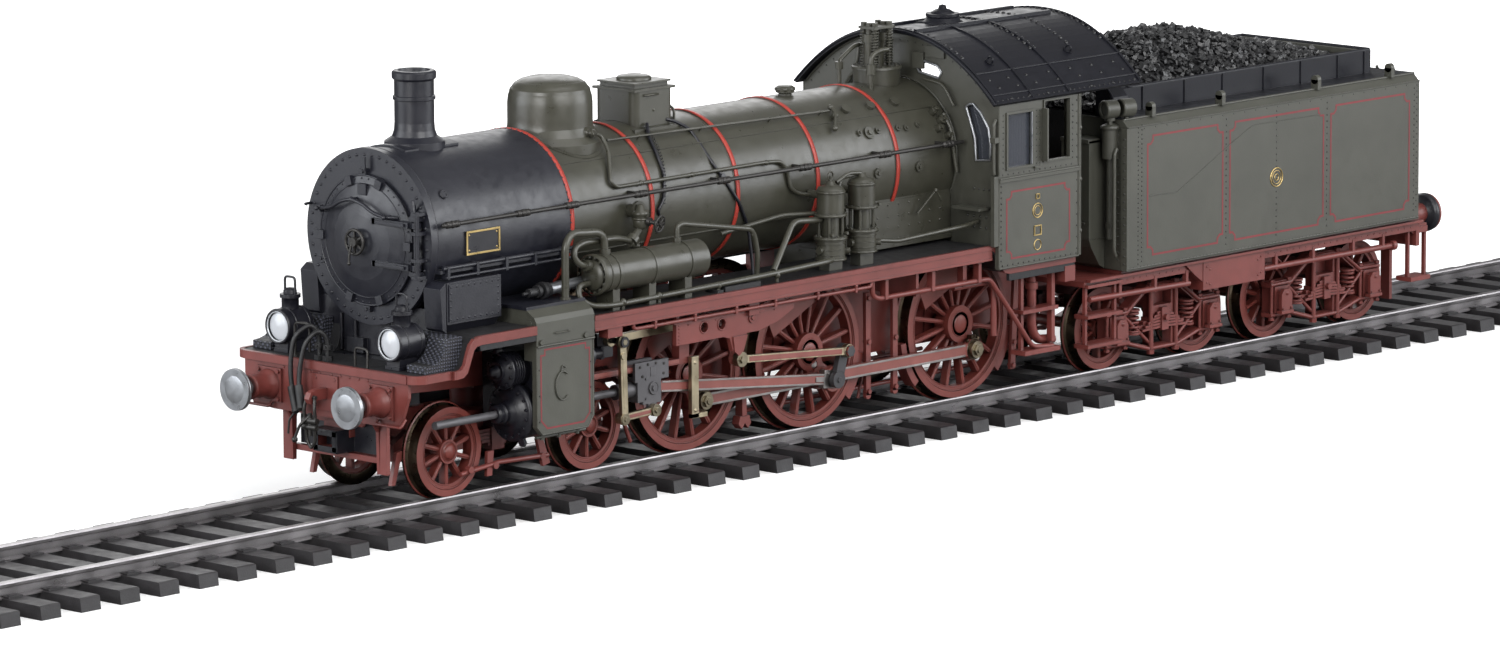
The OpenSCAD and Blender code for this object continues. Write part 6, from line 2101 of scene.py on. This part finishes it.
def tank_front(part, side):
    """Corner angle, tool locker, handrail, canister and drums at the front of one side."""
    part.box((149.8, 44.4, 40.4), (151.0, 47.3, 93.4))
    part.box((150.3, 33.0, 40.4), (150.9, 47.1, 92.4))
    for z in [43 + i * 2.9 for i in range(17)]:
        part.rivet((149.8, 45.9, z), FRONT, 0.32)
        part.rivet((150.3, 42.4, z + 1.2), FRONT, 0.3)
    part.box((141.6, 22.5, 52.0), (150.4, 36.0, 88.6))
    part.box((141.0, 22.5, 87.8), (150.4, 36.0, 89.2))
    part.prism([(141.6, 52.0), (150.4, 52.0), (150.4, 40.4), (147.4, 42.0), (142.8, 49.0)][::-1],
               "xz", 22.5, 36.0)
    part.tube([(141.4, 24, 58), (141.4, 34, 58)], 0.4)
    part.tube([(148.0, 43.6, 46), (147.0, 43.6, 48), (147.0, 43.6, 84), (148.4, 43.6, 86)], 0.7,
              bend=1)
    part.cyl((148.6, 40, 82), (148.6, 40, 93), 3.0, seg=24)
    part.lathe([(3.0, 0), (3.5, 0.2), (3.5, 1.2), (2.2, 2.0), (1.2, 2.2), (1.1, 4.2), (0, 4.4)],
               (148.6, 40, 92.8), seg=24)
    for shift in (0, 7.4):
        drum = Vector((147.8 + shift * 0.9, 40.6 + shift * 0.32, 100.4 + shift * 0.02))
        part.cyl(drum + Vector((-2.2, -0.6, 0)), drum + Vector((2.4, 0.6, 0)), 3.4, seg=24)
        part.torus(drum + Vector((-2.3, -0.6, 0)), (1, side * 0.28, 0), 2.9, 0.6, 24, 8)
        part.cyl(drum + Vector((0, 0, -3.2)), drum + Vector((0, 0, -6.4)), 0.9, seg=10)


def tank_rear(part):
    """Rivets, ladder and round covers of the rear plate."""
    part.rivets([(321.5, y, 44 + i * 2.6) for i in range(19) for y in (-45, -20, 20, 45)],
                BACK, 0.26)
    for y in (-34, -26):
        part.tube([(323.2, y, 44), (323.4, y, 94), (321.4, y, 97.4)], 0.6, bend=1.4)
    for z in (50, 60, 70, 80, 90):
        part.tube([(323.3, -34, z), (323.3, -26, z)], 0.45)
    for y in (-38, 38):
        part.lathe([(0, 2.6), (3.0, 2.6), (3.3, 2.0), (3.3, 0)], (321.5, y, 56), BACK, seg=28)


@piece("tender", CAB_GREEN)
def tender_rivets(part):
    for side in part.sides():
        tank_side(part)
        tank_front(part, side)
        # rounded top brackets
        for x in (166, 206, 262, 306):
            part.cyl((x - 0.2, 44.1, 99.8), (x + 1.8, 44.1, 99.8), 1.7)
            part.box((x - 0.2, 42.4, 96.2), (x + 1.8, 45.8, 99.8))
    tank_rear(part)


@piece("tender", LINING_RED)
def tender_lining(part):
    for _ in part.sides():
        for x0, x1 in ((161.8, 204.8), (209.0, 263.8), (268.2, 315.4)):
            line = notched(x0, x1, 45.0, 89.4, 3.0)
            part.strip([(x, TANK_Y, z) for x, z in line], 0.75, OUT, lift=0.06)


@piece("tender", BRASS)
def tender_blank_medallion(part):
    for _ in part.sides():
        for r, thick, seg in ((3.5, 0.28, 40), (2.5, 0.18, 36), (1.2, 0.2, 24)):
            part.torus((236.2, TANK_Y + 0.05, 65.9), OUT, r, thick, seg)


@piece("tender", ROOF_BLACK)
def coal_space_black_plates(part):
    for _ in part.sides():
        part.box((160.0, 31.9, 96.2), (309.9, 32.25, 105.3))
        part.box((160.0, 30.3, 94.5), (307.2, 30.7, 105.3))
        part.tube([(160, 31.4, 105.4), (309.8, 31.4, 105.4)], 0.75)
        # rising front wing
        part.prism([(40.2, 96.2), (40.4, 100.2), (38.4, 104.0), (34.8, 107.6), (32.3, 109.0),
                    (30.4, 109.0), (30.4, 96.2)], "yz", 151.6, 160.3)
        part.tube([(151.8, 40.4, 99.8), (151.8, 38.0, 104.6), (152.4, 33.4, 108.8),
                   (158, 31.8, 109.0), (163, 31.6, 107.2), (170, 31.6, 105.6)], 0.6, bend=2)
        part.prism([(160.0, 104.8), (160.0, 108.6), (164, 107.2), (171, 105.4),
                    (171, 104.8)][::-1], "xz", 31.0, 32.1)
        for x in (176, 200, 222, 246, 268, 290, 306):
            part.box((x - 0.35, 32.1, 96.3), (x + 0.35, 32.7, 105.2))
        # deck beside the bunker
        part.box((151.2, 32.1, 96.3), (321.3, 43.6, 96.62))
    part.box((309.4, -32.2, 96.2), (310.0, 32.2, 105.3))
    part.tube([(309.9, -31.4, 105.4), (309.9, 31.4, 105.4)], 0.75)
    for _ in part.sides():
        part.box((310.0, 6.2, 96.3), (321.3, 32.1, 96.62))
    # box at the front right corner
    part.box((150.9, 24, 96.2), (158.2, 38.2, 104.3))
    part.box((150.2, 23.6, 104.1), (158.6, 38.6, 105.0))


@piece("tender", FRAME_RED)
def tender_underframe(part):
    for _ in part.sides():
        part.tube([(133, 43.6, 31.6), (190, 43.2, 30.8)], 1.15, seg=10)
        part.tube([(233, 43.2, 31.0), (311, 43.2, 30.8)], 1.15, seg=10)
        part.cyl((309.6, 43.2, 30.8), (311.6, 43.2, 30.8), 1.9, seg=14)
        for x in (150, 170, 188, 240, 262, 286, 304):
            part.box((x - 0.7, 42.4, 30), (x + 0.7, 44.2, 36))
        # long angle iron and rivets
        part.box((131, 43.8, 38.2), (326, 46.0, 39.2))
        part.rivets([(154 + i * 3.7, 44.0, 36.6) for i in range(46)], OUT, 0.28)
        # corner bolts of the locker
        part.rivets([(x, 45.0, z) for x, z in (
            (198.4, 36.2), (200.2, 35.0), (198.4, 30.2), (200.2, 29.4),
            (229.8, 36.4), (228.0, 35.4), (229.8, 30.4), (228.0, 29.6))], OUT, 0.42)
        part.prism([(186, 38.4), (196.4, 38.4), (196.4, 30.6), (192, 33.6)][::-1], "xz", 38.6,
                   44.8)
        # angled strut and rear step hanger
        part.tube([(238, 42, 38), (246, 42, 31), (254, 42, 38)], 0.5)
        part.prism([(321.0, 36), (332.2, 36), (332.2, 33.6), (323.4, 33.6)][::-1], "xz", 42.4,
                   43.0)
        # front step treads
        for z in (14.2, 25.2, 36.6):
            part.box((130.2, 43.4, z - 0.5), (149.6, 45.6, z + 0.7))


@piece("tender", CYLINDER_BLACK)
def tender_buffer_faces(part):
    for _ in part.sides():
        part.lathe([(0, 1.2), (4.0, 1.0), (6.6, 0.4), (7.5, -0.4), (7.5, -1.6), (6.6, -3.0),
                    (3.4, -3.6), (3.0, -8.0)], (350.5, BUFFER_Y, BUFFER_Z), BACK, seg=44)


@piece("water_lid", ROOF_BLACK)
def filler_lid_top(part):
    part.lathe([(5.4, 0), (5.5, 1.3), (5.0, 1.8), (0, 2.1)], (315.2, 0, 96.9), seg=36)
    part.tube([(312, 0, 99.0), (310.6, 0, 100.6), (309.4, 0, 100.6)], 0.5)


def arch_bars(part, front, rear):
    """Outer ribs of the frame and the bolts that hold it."""
    mid = (front + rear) / 2
    top = [(front - 6, 21.4), (front + 6, 21.5), (mid - 9, 29.6), (mid + 9, 29.6),
           (rear - 6, 21.5), (rear + 6, 21.4)]
    bottom = [(front - 6, 9.8), (front + 6, 9.8), (mid - 8, 6.2), (mid + 8, 6.2),
              (rear - 6, 9.8), (rear + 6, 9.8)]
    for line in (top, bottom):
        part.tube([(x, 32.7, z) for x, z in line], 0.8)
    part.tube([(front + 4, 32.4, 20.6), (mid - 7, 32.4, 8.0)], 0.75)
    part.tube([(rear - 4, 32.4, 20.6), (mid + 7, 32.4, 8.0)], 0.75)
    for x in (mid - 7.2, mid + 7.2):
        part.cyl((x, 33.0, 5.4), (x, 33.0, 30.2), 0.9, seg=10)
        for z in (5.0, 30.4):
            part.nut((x, 33.0, z - 0.8), (x, 33.0, z + 0.8), 1.5)


def axlebox(part, x):
    for dx in (-5, 5):
        part.cyl((x + dx, 32.6, 8.2), (x + dx, 32.6, 22.8), 0.7, seg=8)
        part.nut((x + dx, 32.6, 22.4), (x + dx, 32.6, 23.4), 1.2)
        part.nut((x + dx, 32.6, 7.8), (x + dx, 32.6, 8.8), 1.2)
    part.prism([(x - 3.1, 11.4), (x + 3.1, 11.4), (x + 3.1, 17.8), (x + 1.6, 19.8),
                (x - 1.6, 19.8), (x - 3.1, 17.8)][::-1], "xz", 34.8, 36.2)
    part.rivet((x, 36.2, 18.2), OUT, 0.7)
    part.box((x - 3.6, 34.0, 10.4), (x + 3.6, 36.6, 11.6))
    part.bolts([(x + dx, 36.2, 12.4) for dx in (-2.4, 2.4)], OUT, 0.5, 0.5)


def bogie_suspension(part, mid):
    """Leaf spring with its buckle, and a coil spring at each end of it."""
    for i in range(6):
        half, z = 12.4 - i * 1.7, i * 1.15
        leaf = [(mid - half, 13.0 + z), (mid, 13.6 + z), (mid + half, 13.0 + z),
                (mid + half, 13.9 + z), (mid, 14.5 + z), (mid - half, 13.9 + z)]
        part.prism(leaf[::-1], "xz", 28.6, 33.6)
    part.box((mid - 1.9, 28.4, 12.6), (mid + 1.9, 34.2, 21.2))
    part.bolt((mid, 34.2, 17.4), OUT, 1.3, 1.3)
    coils = (mid - 15.6, mid + 15.6)
    for i in range(5):
        for x in coils:
            part.torus((x, 31.0, 13.6 + i * 1.7), UP, 2.3, 0.55, 20)
    for x in coils:
        part.cyl((x, 31.0, 12.4), (x, 31.0, 13.2), 3.0, seg=16)
        part.cyl((x, 31.0, 21.2), (x, 31.0, 22.0), 3.0, seg=16)


for number, (front, rear) in enumerate((TENDER_X[:2], TENDER_X[2:]), 1):
    part = Part()
    for _ in part.sides():
        arch_bars(part, front, rear)
        axlebox(part, front)
        axlebox(part, rear)
        bogie_suspension(part, (front + rear) / 2)
    make(f"tender_bogie_fittings_{number}", part, f"tender_bogie_{number}", FRAME_RED)

# ------------------------------------------------------------------ coal

COAL_X0, COAL_X1, COAL_Y = 152.8, 306.9, 30.4


def heap_z(x, y):
    """Height of the heap: a rounded ridge, lower towards both ends, with ripples."""
    ridge = 1 - (abs(y) / 31.0) ** 2.4
    mound = 2.718281828459045 ** -(((x - 220) / 48.0) ** 2)
    front = min(1, max(0, (x - 156) / 26))
    rear = min(1, max(0, (306.6 - x) / 20))
    ripple = 0.7 * sin(x * 0.31 + y * 0.2) * cos(y * 0.41 - x * 0.13)
    rise = ridge * (14.2 * mound * front + 2.2 * front * (0.4 + 0.6 * rear))
    return 99.0 + 4.0 * front + rise + ripple - (1 - rear) * 2.0


def lump_shape():
    """Corners and faces of one angular lump, about 1 mm in radius."""
    directions = ((1, 0, -0.2), (-0.5, 0.9, 0), (-0.5, -0.8, 0.1), (0.1, 0.1, 1),
                  (0.2, -0.1, -1), (0.7, 0.7, 0.5), (-0.8, 0.1, 0.6), (0.3, -0.9, 0.5))
    hull = bmesh.new()
    for direction in directions:
        hull.verts.new(Vector(direction).normalized())
    bmesh.ops.convex_hull(hull, input=hull.verts)
    hull.verts.ensure_lookup_table()
    hull.verts.index_update()
    verts = [v.co.copy() for v in hull.verts]
    faces = [[v.index for v in face.verts] for face in hull.faces]
    hull.free()
    return verts, faces


@piece("tender", COAL_BED, COAL, replaces="coal_load")
def coal_heap(part):
    chance = random.Random(11)
    draw = chance.uniform
    columns, rows = 90, 40
    bed = []
    for i in range(columns + 1):
        for j in range(rows + 1):
            x = COAL_X0 + (COAL_X1 - COAL_X0) * i / columns
            y = -COAL_Y + 2 * COAL_Y * j / rows
            bed.append((x, y, heap_z(x, y) - 0.9 + draw(-0.3, 0.3)))
    faces = []
    for i in range(columns):
        for j in range(rows):
            a = i * (rows + 1) + j
            faces.append((a, a + rows + 1, a + rows + 2, a + 1))
    part.add(bed, faces)
    part.box((COAL_X0, -COAL_Y, 71.6), (COAL_X1, COAL_Y, 97.0))
    lump_verts, lump_faces = lump_shape()
    for k in range(5200):
        x = draw(COAL_X0 + 1, COAL_X1 - 1)
        y = draw(-COAL_Y + 0.8, COAL_Y - 0.8)
        size = draw(0.75, 1.5) if k % 9 else draw(1.4, 2.3)
        angle = draw(0, 6.28)
        axis = Vector((draw(-1, 1), draw(-1, 1), draw(-1, 1) + 0.01))
        turn = Matrix.Rotation(angle, 3, axis)
        scale = Vector((size * draw(0.8, 1.3), size * draw(0.7, 1.2), size * draw(0.6, 1.0)))
        center = Vector((x, y, heap_z(x, y) + draw(-0.8, 0.35)))
        lump = [center + turn @ Vector((v.x * scale.x, v.y * scale.y, v.z * scale.z))
                for v in lump_verts]
        part.add(lump, lump_faces, mat=1)
